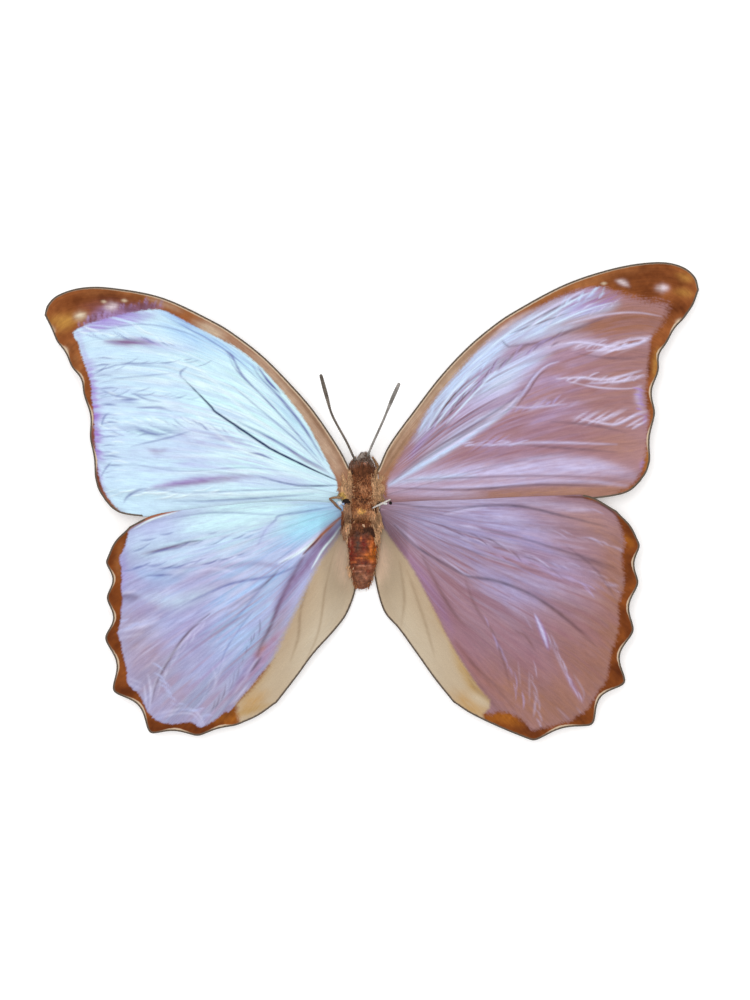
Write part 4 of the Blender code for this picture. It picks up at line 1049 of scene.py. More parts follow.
FORE_RIGHT_FIELD = [
    (4.4, 0.6), (4.6, 3.6), (6.2, 7), (8, 10), (10, 13.2), (12.5, 17.6), (16, 22.3), (20, 26.9), (25, 31.8),
    (30, 35.4), (35, 38.4), (40, 40.8), (45, 42.2), (48, 42, 1), (50, 41.2, 1.3), (53, 40.2, 1.8),
    (57, 39.2, 2.2), (60, 38.5, 2.4), (59.5, 36, 1.8), (58.3, 34, 1.4), (57, 32.5), (56.5, 30),
    (56.2, 27.5), (56, 25), (55.8, 22), (55.9, 19), (56.3, 16.5), (56.1, 13), (55.8, 10), (55.3, 7.5),
    (54.8, 5.5), (53, 3), (50, 1.2), (46, -1), (40, -6), (0, -6), (2, 2),
]
FORE_RIGHT_STROKES = brushwork(
    ("mauve", 5, 0.5, 10, 9, 22, 20, 32, 28), ("lilac", 3.5, 0.45, 14, 15, 24, 24, 34, 31),
    ("dusk", 3, 1, 62, 36, 54, 35.4, 44, 34.8, 38, 33), ("rust", 1.8, 0.3, 60, 35.8, 52, 35, 43, 34.8),
    ("rose", 1.6, 0.35, 42, 12.4, 48, 12, 54, 11), ("dusk", 3, 0.6, 60, 27, 52, 26, 46, 25),
    ("tan", 2.4, 0.6, 57, 10, 50, 11, 42, 12), ("dusk", 3.5, 0.5, 56, 22, 48, 20, 40, 20),
    ("rose", 2.5, 0.35, 22, 12, 34, 13, 48, 12),
    ("tan", 1, 0.95, 18, 1.2, 28, 1.1, 38, 1.4, 48, 1.8, 53, 2.3),
    ("tan", 1.1, 0.5, 38, 1.4, 48, 1.6, 54, 2.6), ("rose", 1.4, 0.5, 10, 7.6, 22, 8.8, 36, 9.4, 50, 8.6),
    ("rose", 0.9, 0.5, 9, 9, 16, 12.6, 24, 17),
    ("ice", 1.2, 0.9, 10.5, 12, 14, 18, 20, 25, 26, 30, 30, 33.5, 36, 37, 43, 40.5),
    ("ice", 1, 0.7, 12, 16, 18, 23.5, 24, 29.5, 27.5, 31.4),
    ("ice", 1, 0.8, 28, 31, 34, 33.5, 40, 36.5, 48, 38, 50, 38.8),
    ("lilac", 1, 0.7, 38, 37.6, 44, 40.6, 47, 42), ("violet", 0.8, 0.32, 40, 36.6, 46, 38.4, 50, 39.6),
    ("ice", 0.7, 0.55, 30, 31, 36, 33, 44, 35), ("violet", 0.45, 0.42, 9, 8, 11, 11, 14, 14.5),
    ("ice", 0.8, 0.6, 8, 5, 15, 10, 20, 14, 26, 17.5, 30, 20),
    ("ice", 0.8, 0.55, 20, 19, 26, 23, 31, 27, 36, 30),
    ("ice", 1.5, 1.1, 22, 19.6, 28, 24.2, 33, 27.6, 36, 29),
    ("ice", 1.3, 0.9, 21, 26.4, 24, 28.8, 26.8, 30.6), ("ice", 1.5, 0.7, 24, 21.2, 28, 24.2, 31, 26.4),
    ("sheen", 0.8, 0.6, 5, 1.5, 15, 1.4, 24, 1.1), ("dusk", 1, 0.7, 44, 1.6, 49, 1.9, 53, 3),
    ("sheen", 0.8, 0.55, 22, 18, 28, 22.5, 32, 25.5, 35, 28),
    ("sheen", 0.6, 0.5, 26, 24, 32, 28.5, 38, 31.5, 45, 33),
    ("sheen", 1.4, 1, 5, 3.3, 12, 4.6, 20, 5.3, 30, 5.9, 40, 6.2, 48, 5.9, 53, 5),
    ("sheen", 0.7, 0.5, 30, 8, 42, 8, 50, 6.5), ("ice", 0.45, 0.6, 5, 3.2, 10, 4, 16, 4.6, 22, 5),
    ("sheen", 0.42, 0.8, 5, 2.8, 15, 2.6, 25, 2.8, 35, 3.7, 45, 3.6, 52, 2.8),
    ("lilac", 1.4, 0.4, 32, 14, 40, 18, 46, 16), ("lilac", 0.9, 0.4, 30, 22, 36, 24, 42, 22),
    ("rose", 9, 0.5, 0, 12, 8, 34, 18, 50, 26), ("lilac", 9, 0.35, 0.1, 12, 10, 30, 22, 46, 30),
    ("ice", 1.5, 0.9, 0.05, 11.5, 13.6, 19, 21.6, 27, 28.6),
    ("sheen", 2.2, 0.75, 0.05, 9, 8, 19, 16, 31, 26), ("crease", 2.4, 0.6, 0.05, 10, 9.6, 19, 18, 31, 28),
    ("frost", 0.9, 0.8, 0.35, 42, 30, 50, 30.2, 57.5, 32.4),
    ("frost", 0.6, 0.8, 0.4, 38, 23.8, 48, 23.6, 56, 25.2),
    ("frost", 0.9, 0.7, 0.6, 42, 15.8, 49, 16.2, 56, 17),
    ("lilac", 0.9, 0.7, 0.5, 17, 10.8, 24, 11.4, 31, 12),
    ("sheen", 0.8, 0.5, 0.5, 30, 18.4, 36, 18.8, 42, 19.2),
    ("ice", 1.2, 0.7, 0.35, 30, 33, 38, 37, 47, 40.4),
    ("violet", 1.1, 0.42, 0.8, 40, 37, 46, 39.6, 51, 40.6),
    ("ice", 0.42, 0.95, 5, 3, 15, 9, 22, 13.5, 28, 17.5, 30.5, 20),
    ("sheen", 0.18, 0.9, 29, 18.4, 31.4, 21, 33.4, 24, 36, 26.5, 38.5, 27.4),
    ("umber", 0.12, 0.6, 30, 18.2, 32.6, 21.6, 34.4, 24.4, 36.6, 26.2),
    ("frost", 0.22, 0.6, 12, 7.6, 20, 12.5, 28, 17.8, 31, 21.4),
    ("sheen", 0.5, 0.6, 34, 28.5, 41, 31, 48, 31.6), ("sheen", 0.55, 0.5, 54.5, 22.4, 54.2, 20, 55, 18),
    ("violet", 0.3, 0.3, 54.8, 22, 54.6, 20, 55.2, 18.5), ("violet", 0.3, 0.3, 56, 17, 55.6, 16, 55.3, 15),
    ("violet", 0.35, 0.35, 54.8, 6, 55, 7, 55.3, 8),
    ("ink", 0.16, 0.3, 5, 3.2, 12, 8.2, 20, 13, 28, 17.5, 30.5, 20, 34, 24.5),
    ("ink", 0.16, 0.3, 5.5, 3.6, 10, 7.5, 15, 10.8, 22, 15, 30, 20.4, 34, 25.4),
    ("ink", 0.16, 0.38, 27.3, 31.7, 28, 30.8, 28.8, 30.2),
    ("crease", 0.22, 0.55, 28.5, 30.3, 35, 31.3, 42, 34, 48, 36.3),
    ("frost", 0.16, 0.41, 40, 34.8, 48, 36.7, 54, 37.1, 59, 36.3),
    ("crease", 0.16, 0.5, 30, 33.8, 36, 37, 44, 41.2), ("frost", 0.18, 0.6, 31, 34.4, 36, 37.5, 44, 41.8),
    ("crease", 0.16, 0.5, 29, 33, 35, 35.2, 41, 37.2), ("crease", 0.2, 0.4, 37, 15.5, 45, 14.8, 52, 13.3),
    ("crease", 0.2, 0.4, 30, 11, 40, 10.2, 50, 9.5), ("crease", 0.2, 0.5, 5, 2.4, 20, 2, 35, 3, 48, 2.6),
    ("crease", 0.18, 0.4, 8, 3.9, 20, 4.4, 34, 4.8, 48, 4.4),
    ("crease", 0.2, 0.35, 42, 29, 50, 28, 56, 28.4),
    ("sheen", 0.22, 0.55, 20, 10.8, 28, 11, 36, 11.4, 50, 11),
    ("sheen", 0.18, 0.5, 28, 18.5, 33, 18.3, 40, 19),
    ("frost", 0.2, 0.6, 36, 30.2, 42, 31.2, 50, 30.3, 54, 31, 57, 32.5),
    ("frost", 0.18, 0.52, 50, 29.6, 53, 30.4, 56.6, 31.8),
    ("frost", 0.18, 0.45, 44, 29.5, 50, 30, 56, 31.5),
    ("frost", 0.2, 0.6, 38, 24, 43, 24.2, 47, 23.8, 50, 24.3, 55, 25.7),
    ("frost", 0.16, 0.52, 44, 23, 52, 23.6, 55.5, 24.5),
    ("frost", 0.14, 0.45, 40, 23.5, 46, 22.3, 52, 22, 55, 22.6),
    ("frost", 0.18, 0.52, 43, 16, 46, 15.4, 50, 15, 54, 17, 55.5, 17.5),
    ("frost", 0.15, 0.49, 47, 15.6, 49.5, 17.3), ("frost", 0.15, 0.49, 52, 14.5, 55.5, 16.5),
    ("frost", 0.15, 0.45, 53, 14, 56, 15.8),
    *barbs("frost", 0.12, 0.56, [(42, 30), (48, 30), (54, 30.4)], 1.1, 2.6, 32, 51),
    *barbs("frost", 0.11, 0.52, [(40, 23.6), (47, 23.2), (53, 23.4)], 1.1, 2.2, 28, 52),
    *barbs("frost", 0.11, 0.45, [(42, 15.6), (48, 15), (53, 14.6)], 1.4, 2.4, 36, 53),
    *barbs("sheen", 0.12, 0.6, [(18, 10.6), (24, 10.8), (30, 11)], 1, 2.2, 14, 54),
    *barbs("lilac", 0.12, 0.6, [(29, 17), (33, 17.6), (37, 18.4)], 1, 2.2, 26, 55),
    *barbs("lilac", 0.16, 0.65, [(12, 13), (20, 20), (28, 26.6), (36, 30.6)], 1.3, 3.2, 20, 56),
    *barbs("crease", 0.12, 0.45, [(13, 14), (21, 21), (29, 27.6), (38, 31.4)], 1.5, 3.2, 17, 57),
    *barbs("ice", 0.13, 0.6, [(38, 37.4), (43, 39.4), (47, 40.4)], 0.8, 2.6, 38, 58),
    ("snow", 0.2, 0.7, 12.4, 13.8, 16, 19.4, 20, 24.2, 24.5, 28.6),
    ("snow", 0.15, 0.7, 14, 14.6, 18, 19.6, 23, 24.6), ("snow", 0.15, 0.7, 16.4, 15.2, 21, 20.2, 26, 25.4),
    ("snow", 0.18, 0.7, 21, 26.6, 26, 31, 31, 34.6, 36, 37.4),
    ("snow", 0.16, 0.7, 30, 32.6, 36, 36.2, 42, 39.8, 46, 41.6),
    ("snow", 0.14, 0.7, 32, 32, 38, 35, 44, 37.6, 49, 39),
    ("umber", 0.14, 0.6, 13.2, 14.4, 17, 19.8, 21.5, 24.6),
    ("umber", 0.12, 0.5, 15.2, 15, 19.5, 20, 24.5, 25.2),
    *barbs("frost", 0.12, 0.45, [(32, 33), (40, 36), (48, 38)], 1.4, 2.6, 24, 59),
    *barbs("ice", 0.14, 0.6, [(11, 13), (17, 21), (25, 28)], 1.6, 4, 8, 60),
    *barbs("violet", 0.1, 0.42, [(53.4, 22), (53.6, 20), (54, 17)], 0.8, 1.8, 70, 61),
    ("snow", 1.3, 0.4, 25, 21.6, 28, 24, 31, 26.4),
)

HIND_LEFT_FIELD = [
    (-4, 4), (-30, 4), (-38, -0.5), (-39, -2.3), (-42.5, -3.4), (-46, -5), (-46.8, -7.5), (-47.4, -9.5),
    (-48.3, -11.5), (-48, -13.5), (-47.9, -15.5), (-48, -18), (-47.7, -19.8), (-48, -21.5), (-48.2, -24),
    (-48.7, -26.5), (-48, -28.5), (-47.6, -31), (-47, -33.5), (-46.8, -36), (-46, -37.2), (-45, -38),
    (-44, -39.3), (-43.3, -41.2), (-42.2, -42.6), (-41.2, -43.6), (-39, -44.3), (-36, -44.2), (-34.2, -44),
    (-33, -44.8), (-32, -45), (-30.5, -44.2), (-29, -43.2), (-27.5, -42), (-26, -41.2), (-20, -34),
    (0, -10), (2, -2),
]
HIND_LEFT_ANAL = [
    (-3, -3.6), (-6, -8.2), (-9, -12.5), (-12.5, -19.5), (-16, -27), (-19, -33), (-22, -37), (-25.5, -40.8),
    (-24.5, -43), (-22, -48), (10, -48), (10, -4.5),
]
HIND_LEFT_STROKES = brushwork(
    ("ice", 3.4, 0.95, -8, -1, -24, -2, -38, -4), ("base", 3.2, 0.9, -14, -4, -28, -7, -42, -10),
    ("sky", 2.4, 0.75, -5, -2, -10, -5, -16, -9), ("base", 2.6, 0.7, -20, -10, -30, -12, -38, -12),
    ("sky", 3.2, 0.45, -16, -11, -26, -18, -34, -24), ("sky", 2.6, 0.4, -18, -18, -25, -27, -30, -34),
    ("dusk", 3, 0.75, -47, -22, -43, -30, -36, -38), ("dusk", 2, 0.6, -28, -37, -30, -42),
    ("dusk", 1.6, 0.5, -25, -33, -27, -38, -30, -42), ("mauve", 2, 0.6, -47, -13, -44, -18, -40, -21),
    ("lilac", 1, 0.5, -46, -6.5, -42, -5.6, -36, -4.6), ("mauve", 5, 0.7, -24, -28, -34, -34, -40, -36),
    ("dusk", 5, 0.6, -47, -26, -42, -34, -34, -40, -26, -38),
    ("dusk", 1.8, 0.6, -15, -20, -18, -26, -22, -32), ("lilac", 10, 0.6, 0, -12, -6, -28, -14, -44, -20),
    ("dusk", 9, 0.6, 0, -18, -20, -30, -30, -36, -38), ("sky", 9, 0.5, 0, -12, -9, -24, -22, -32, -36),
    ("white", 7, 0.4, -0.1, -14, -8, -30, -16, -40, -30),
    ("aqua", 2.2, 0.8, -5, -2.6, -10, -4.4, -17, -6.4), ("ice", 2.2, 0.6, -14, -3, -26, -3.8, -36, -5),
    ("base", 2.6, 0.5, -47, -8.4, -42, -9.6, -36, -10.6),
    ("mauve", 3.6, 0.5, -30, -15, -35, -22, -34, -30, -26, -33),
    ("mauve", 2.2, 0.4, -29, -14, -33, -19, -33, -31),
    ("rust", 1, 0.4, -13, -18, -17.4, -27, -21.6, -34, -25, -38.4),
    ("violet", 0.7, 0.28, -47.4, -8, -48, -14, -48, -22), ("sky", 1, 0.35, -36, -16, -42, -15, -46, -13.4),
    ("base", 1.2, 0.5, -30, -17.6, -37, -20, -44, -19),
    ("rose", 1.1, 0.75, -5, -5.5, -9, -10, -13, -15.5, -17, -21),
    ("lilac", 0.8, 0.5, -9, -12, -13, -19, -17, -27), ("rose", 0.9, 0.4, -40, -20, -46, -23.5),
    ("violet", 0.8, 0.21, -17, -26, -20, -31, -23, -36), ("rust", 0.6, 0.55, -19.5, -28, -21.5, -31.5),
    ("rose", 0.6, 0.55, -21, -30, -24, -35, -27, -39),
    ("crease", 0.2, 0.45, -6, -1.3, -11, -2.2, -16.6, -3.1, -17.5, -4, -19.5, -6, -21, -9),
    ("lilac", 0.7, 0.55, -17, -4, -19.5, -6, -21, -9),
    ("crease", 0.16, 0.35, -16.6, -3, -30, -2.5, -40, -4), ("lilac", 0.6, 0.5, -30, -1.6, -38, -3, -44, -5),
    ("ink", 0.16, 0.5, -32, -8, -35, -8.4, -38, -9.3, -43, -10.5),
    ("rose", 0.3, 0.6, -33, -8.2, -38, -9.4, -44, -10.7),
    ("crease", 0.16, 0.5, -36, -9.4, -40, -10, -43, -11),
    ("crease", 0.22, 0.5, -27, -11.8, -30, -12.4, -34, -13.2, -40, -13.6),
    ("crease", 0.16, 0.6, -38, -14.8, -43, -15),
    ("crease", 0.22, 0.55, -13, -13, -18, -15, -26, -16.5, -32, -19, -36, -21),
    ("rose", 0.5, 0.4, -15, -13.6, -22, -12.5, -30, -14, -38, -17.4),
    ("umber", 0.32, 0.75, -11.6, -10.6, -14, -15, -16.5, -20, -18.5, -25, -20.5, -29, -21, -31),
    ("rose", 0.7, 0.5, -12, -12, -15, -17.4, -18, -24),
    ("umber", 0.22, 0.45, -17, -14, -20, -17, -22.5, -18.5),
    ("crease", 0.18, 0.3, -20, -17, -24, -22, -28, -26),
    ("umber", 0.2, 0.7, -30.5, -22.5, -35, -26.5, -38.5, -31.5, -41, -36, -42, -40),
    ("umber", 0.22, 0.6, -20.3, -31.2, -21.4, -32.6, -22.5, -34.2),
    ("umber", 0.55, 0.65, -48.5, -18.9, -46.5, -19.2, -44.5, -19.2),
    ("crease", 0.15, 0.35, -22, -22, -27, -29, -29, -35),
    ("white", 0.3, 0.68, -7, -5, -12, -9.2, -17, -12.6),
    ("ink", 0.12, 0.5, -9.4, -7.6, -12.6, -10.2, -16.4, -12.6),
    ("white", 0.22, 0.42, -11.8, -10.7, -12.6, -11.2), ("white", 0.5, 0.34, -20, -11, -30, -12, -36, -13.3),
    ("white", 0.22, 0.32, -28, -12.2, -32, -12.9, -37, -13.3),
    ("white", 0.22, 0.29, -25, -14.4, -30, -13.6, -35, -14.6),
    ("white", 0.22, 0.29, -31, -23.2, -35.4, -27.5, -39.4, -32.5, -41.4, -36.5, -42.4, -40.5),
    ("white", 0.22, 0.36, -42.7, -34.5, -42.2, -38, -42.5, -41.5),
    ("white", 0.2, 0.34, -43.5, -36.5, -43, -41), ("white", 0.2, 0.21, -30, -33, -29.3, -36, -31, -39),
    ("white", 0.3, 0.34, -24, -29, -28, -33, -30, -38),
    ("white", 0.25, 0.49, -40.5, -23.6, -44, -25, -48.5, -26),
    ("white", 0.2, 0.25, -40, -22.6, -44, -24.2, -48.4, -25),
    ("white", 0.2, 0.25, -44, -26.5, -48.7, -27.4), ("white", 0.22, 0.38, -45, -18, -48.3, -18.6),
    ("white", 0.16, 0.29, -41, -43.3, -37, -42.3, -34, -42.4, -32.5, -44, -32, -45),
    ("white", 0.2, 0.27, -35.2, -41, -33, -42.2, -31.6, -44.6),
    ("white", 0.22, 0.25, -41, -42.4, -36, -41.2, -35, -40.4),
    ("white", 0.25, 0.49, -22.5, -36, -25, -39, -26.5, -40.5), ("white", 0.2, 0.23, -23, -35, -26, -38.5),
    ("white", 0.2, 0.25, -46.5, -36.3, -45.2, -36.8, -44, -37.5),
    ("white", 0.2, 0.21, -46.5, -35.3, -45.2, -35.8, -44, -36.2),
    ("white", 0.3, 0.9, -13, -10.2, -12.2, -9.8),
    ("rust", 0.26, 1.4, -36.4, -1.9, -42, -3.3, -46.2, -5.4, -49, -8.6),
    ("frost", 0.14, 0.8, -37, -2.4, -42, -3.9, -45.6, -5.8),
    ("white", 0.2, 0.21, -21, -31.4, -22.8, -33.8, -23.6, -35.2),
    *barbs("white", 0.12, 0.23, [(-31, -24), (-36, -29), (-40, -35)], 1.2, 3.2, 14, 62),
    *barbs("white", 0.12, 0.21, [(-24, -24), (-28, -31), (-31, -38)], 1.6, 3, -12, 63),
    *barbs("crease", 0.11, 0.5, [(-22, -10), (-32, -12), (-44, -13)], 1.5, 3.4, 10, 64),
    *barbs("crease", 0.11, 0.4, [(-20, -6), (-30, -7.4), (-42, -8)], 1.8, 3.6, 12, 65),
    *barbs("lilac", 0.16, 0.5, [(-24, -20), (-34, -23), (-46, -24)], 1.6, 3.4, 12, 66),
    *barbs("white", 0.12, 0.21, [(-14, -9.6), (-24, -9.4), (-36, -10.4)], 1.8, 3.8, 8, 67),
    *barbs("umber", 0.11, 0.35, [(-21, -24), (-25, -32), (-29, -40)], 1.6, 3, 12, 68),
    *barbs("lilac", 0.14, 0.5, [(-42, -33), (-38, -40), (-31, -43)], 1.2, 2.4, 24, 69),
    ("rose", 1.2, 0.75, -4.6, -4.2, -6.6, -6.8, -9, -9.8, -10.6, -12.4),
    ("frost", 0.18, 0.8, -4.7, -5.3, -6.2, -7.5, -8.2, -9.9, -10.4, -13.6),
    ("frost", 0.26, 0.9, -7.6, -6.2, -10.6, -8.8, -13.5, -10.8, -16.8, -12.4),
    ("rust", 0.24, 0.9, -3.6, -2.6, -5.6, -4.3, -8.2, -6.7, -10.2, -8.9, -12, -10.6),
    ("umber", 0.14, 0.7, -8.4, -7, -10.4, -9.2, -12.2, -10.9),
)

HIND_RIGHT_FIELD = [
    (3, 3), (36, 4), (43, 1.2), (44, 0.3), (47, -0.6), (49.2, -1.8), (49.8, -3), (51, -6), (51.5, -8.5),
    (51, -11), (51.3, -14), (51.5, -16.8), (50.8, -19), (50.3, -21), (50.5, -24), (50.2, -26.5),
    (49.3, -29), (48.8, -31), (48.5, -33), (47.8, -36), (46.5, -37.8), (45.3, -40), (44.2, -41.5),
    (42.2, -42.8), (41, -43.8), (39, -44.2), (37, -45), (35, -45.2), (33.3, -45.6), (31.5, -43.8),
    (29.5, -42.5), (27, -41.9), (24.5, -42.3), (20, -38), (0, -8),
]
HIND_RIGHT_ANAL = [
    (3.4, -4.8), (6, -8.6), (9, -12.6), (12, -18), (15, -24), (17, -28), (20, -33), (23, -37.5),
    (25.4, -40.4), (23.6, -42.4), (21, -48), (-10, -48), (-10, -5),
]
HIND_RIGHT_STROKES = brushwork(
    ("dusk", 4.6, 1, 51, -7, 50, -20, 46, -34, 38, -42), ("rose", 6, 0.6, 22, -30, 30, -34, 40, -30),
    ("dusk", 3.5, 0.7, 40, -28, 42, -38, 36, -43), ("blue", 3.6, 0.8, 8, -3, 14, -5, 22, -9),
    ("sky", 3.4, 0.85, 16, -4, 26, -4, 36, -11), ("sky", 3, 0.6, 22, -13, 30, -18, 38, -16),
    ("sheen", 0.9, 0.4, 32, -0.8, 40, -1.4, 45, -2.2), ("dusk", 1.4, 0.6, 50, -6, 49, -12, 48.6, -22),
    ("mauve", 0.9, 0.6, 7.6, -10.6, 12, -18, 15.4, -25),
    ("umber", 0.2, 1, 38, 0.7, 44.4, 0.3, 49, -2.2, 51.4, -5),
    ("lilac", 2.6, 0.4, 30, -6, 38, -12, 46, -17), ("rose", 2.2, 0.55, 7, -9, 13, -16, 19, -26, 27, -37),
    ("violet", 0.8, 0.18, 7, -9, 10.5, -13.4, 14.5, -20, 17.5, -26),
    ("mauve", 2.4, 0.5, 18, -18, 24, -27, 30, -37), ("rust", 0.8, 0.35, 18, -28, 23, -35, 29, -41),
    ("tan", 1.6, 0.5, 40, -3, 46, -5, 50, -9), ("dusk", 4, 0.9, 26, -35, 33, -40, 41, -41),
    ("rose", 10, 0.6, 0, 12, -8, 28, -18, 44, -26), ("sheen", 8, 0.3, 0, 10, -4, 26, -9, 42, -15),
    ("sky", 5, 0.5, -0.1, 14, -4, 28, -10, 40, -15), ("sheen", 0.6, 0.5, 6, 0.2, 16, -0.4, 26, 0, 38, 0.6),
    ("rose", 0.6, 0.4, 24, 0.4, 34, 0.8, 44, -0.4), ("sheen", 0.35, 0.7, 16, -2.8, 20, -2, 24, -1.5),
    ("sheen", 0.18, 0.17, 9, -1, 14, -1), ("sheen", 0.8, 0.4, 25, -3, 32, -4),
    ("ink", 0.2, 0.43, 16, -2.5, 22, -1.3, 28, -1.1, 33, -1.6, 40, -3.3, 48, -5.3),
    ("ink", 0.18, 0.31, 5, -0.6, 14, -1.6, 22, -1.2),
    ("ink", 0.18, 0.31, 19, -5.2, 27, -6.5, 36, -9, 44, -11.5, 50, -13.5),
    ("umber", 0.4, 0.35, 36, -9.2, 44, -11.8, 50, -13.8),
    ("ink", 0.16, 0.25, 15, -8, 24, -11, 31, -13.3, 35, -14.5),
    ("rose", 0.4, 0.45, 24, -9.6, 31, -12.4, 38, -15.4, 44, -17.6),
    ("ink", 0.24, 0.46, 6, -5, 10, -9, 14, -11.5, 20, -14.8, 26, -16, 31, -17.8, 36, -20.5, 43, -26),
    ("umber", 0.3, 0.5, 35, -20, 40, -23.4, 46, -29),
    ("umber", 0.3, 0.5, 11.5, -11, 14, -16, 17.5, -22, 20, -25),
    ("umber", 0.3, 0.4, 18, -28, 22, -33, 27, -38, 30, -42),
    ("umber", 0.2, 0.35, 25, -25, 27, -30, 29, -37), ("umber", 0.2, 0.35, 30, -26, 32, -27, 34, -30),
    ("umber", 0.25, 0.35, 20, -15.6, 22, -21, 26, -27), ("crease", 0.2, 0.35, 40, -9, 46, -14, 50, -20),
    ("sheen", 0.22, 0.24, 6, -4.7, 9, -7.3, 11, -9.3), ("sheen", 0.25, 0.6, 19, -5.1, 21, -5.3, 23, -5.8),
    ("sheen", 0.2, 0.37, 15, -11, 18, -13.2, 20, -14.6, 22, -15),
    ("violet", 0.35, 0.6, 34, -23, 35.5, -26.5, 36.5, -29.5),
    ("sheen", 0.2, 0.9, 33.8, -22.6, 35.3, -26.2, 36.3, -29.2),
    ("sheen", 0.2, 0.29, 34.1, -23, 35.4, -26.2, 36.4, -29.2),
    ("sheen", 0.22, 0.21, 36.5, -27, 38.5, -31.5, 40.5, -35.5, 43, -40),
    ("violet", 0.45, 0.18, 40, -34, 41.8, -37.6, 43.4, -40), ("sheen", 0.15, 0.14, 31.5, -22.5, 33.5, -26),
    ("sheen", 0.16, 0.18, 32.7, -34, 32.8, -40), ("sheen", 0.18, 0.21, 34, -39, 33.6, -43),
    ("sheen", 0.14, 0.12, 30.5, -32, 31, -37), ("sheen", 0.16, 0.18, 41.5, -34.5, 43.5, -38, 43.2, -40),
    ("sheen", 0.18, 0.25, 47.6, -16.6, 50.6, -17), ("sheen", 0.15, 0.15, 38, -41, 41, -43.8),
    ("sheen", 0.14, 0.15, 42, -41, 44, -43.5), ("sheen", 0.15, 0.17, 45, -1.7, 47.5, -2.8),
    ("sheen", 0.2, 0.25, 40, -2, 46, -1.9),
    *barbs("sheen", 0.14, 0.31, [(18, -7), (28, -9.4), (40, -13)], 1.6, 3.6, -10, 71),
    *barbs("lilac", 0.16, 0.45, [(26, -11), (34, -13), (44, -17)], 1.4, 3.4, -8, 72),
    *barbs("sheen", 0.12, 0.28, [(36, -5.6), (42, -7), (49, -9.4)], 1.3, 3, -6, 73),
    *barbs("crease", 0.12, 0.35, [(14, -5), (24, -8), (36, -13)], 1.7, 3.6, -8, 74),
    *barbs("sheen", 0.1, 0.15, [(44, -14), (47, -16), (50, -18)], 0.9, 2.4, 16, 75),
    *barbs("sheen", 0.12, 0.28, [(33, -32), (33.6, -38), (34, -43)], 1.2, 3, 8, 76),
    *barbs("lilac", 0.14, 0.4, [(24, -24), (28, -31), (31, -38)], 1.6, 3, -10, 77),
    *barbs("sheen", 0.11, 0.31, [(36, -26), (39, -32), (42, -38)], 1.3, 3, -8, 78),
)

BORDER = {
    "rim": seen(154, 88, 44), "tan": seen(188, 154, 128), "sand": seen(206, 178, 152),
    "orange": seen(166, 106, 60), "umber": seen(108, 52, 18), "gold": seen(190, 136, 64),
    "cream": seen(226, 206, 176), "lilac": seen(166, 136, 184), "plum": seen(124, 70, 72),
    "drab": seen(152, 118, 90), "hind": seen(134, 70, 26), "amber": seen(186, 112, 36),
    "pale": seen(226, 208, 212),
}
FORE_LEFT_BORDER = brushwork(
    ("tan", 6, 1, -2, 4, -10, 16, -20, 27, -29, 34), ("sand", 0.8, 0.6, -9, 13, -15, 20.6, -22, 27.4),
    ("drab", 0.35, 0.8, -3.4, 5.4, -6.4, 10.8, -12, 18.9, -18, 25.7),
    ("sand", 0.7, 0.7, -4.6, 4.6, -6.4, 8.4, -9.6, 13.6),
    ("sand", 0.9, 0.85, -33.5, 35.2, -30.5, 33.8, -27, 32),
    ("cream", 0.4, 0.7, -32, 34.6, -30, 33.6, -28.5, 32.8),
    ("orange", 1.4, 0.8, -32, 36.6, -40, 39.4, -48, 40.8, -56, 41),
    ("umber", 0.9, 0.7, -61, 38.8, -55, 39.6, -48, 40, -42, 39.2),
    ("plum", 1, 0.6, -56, 38, -50, 38.4, -44, 38.4),
    ("lilac", 0.9, 0.85, -54.5, 35.6, -51, 37, -48.6, 38.2),
    ("lilac", 0.6, 0.8, -57, 32.8, -53.4, 35, -49, 36.4, -44, 37.8, -40, 38.3),
    *barbs("lilac", 0.13, 0.8, [(-56, 34), (-52, 35.8), (-46, 37.4), (-40, 38.3)], 0.7, 1.7, 70, 90),
    *barbs("plum", 0.12, 0.7, [(-57, 33.2), (-53, 35.2), (-46, 37), (-40, 38)], 1, 1.6, 60, 91),
    ("orange", 0.7, 0.8, -58.8, 31.4, -57.4, 28.6, -56.2, 25),
    ("tan", 0.5, 0.6, -36, 37.2, -40, 39.2, -43, 40), ("lilac", 0.6, 0.6, -52, 36, -46, 37.6, -42, 38),
    ("plum", 0.6, 0.6, -49, 37.2, -44, 38.2, -41, 38.4), ("pale", 0.6, 0.9, -50.6, 38.2, -49.4, 38.3),
    ("cream", 0.22, 0.8, -47.8, 39.5, -47, 39.4), ("cream", 0.2, 0.7, -51.9, 39.3, -51.1, 39.2),
    ("gold", 1, 0.85, -62, 35.6, -59.5, 35.4, -57, 35.6), ("gold", 0.8, 0.5, -60, 33.4, -58, 36.6),
    ("cream", 0.6, 0.95, -56.6, 36.3, -55.6, 36.5), ("umber", 0.8, 0.5, -61.5, 37.6, -58, 38),
    ("umber", 0.4, 0.3, -59.6, 32.4, -58, 30.5, -57.4, 28), ("cream", 0.35, 0.9, -62, 34.2, -61.4, 33.4),
    ("cream", 0.3, 0.9, -59.2, 30.2, -58.6, 29), ("cream", 0.3, 0.9, -56.9, 25.4, -56.1, 23.8),
    ("gold", 0.4, 0.7, -56.6, 25.4, -55.4, 22),
    ("plum", 0.6, 0.85, -53.9, 17, -53.7, 9, -52.6, 2.6, -50, -1.4),
)
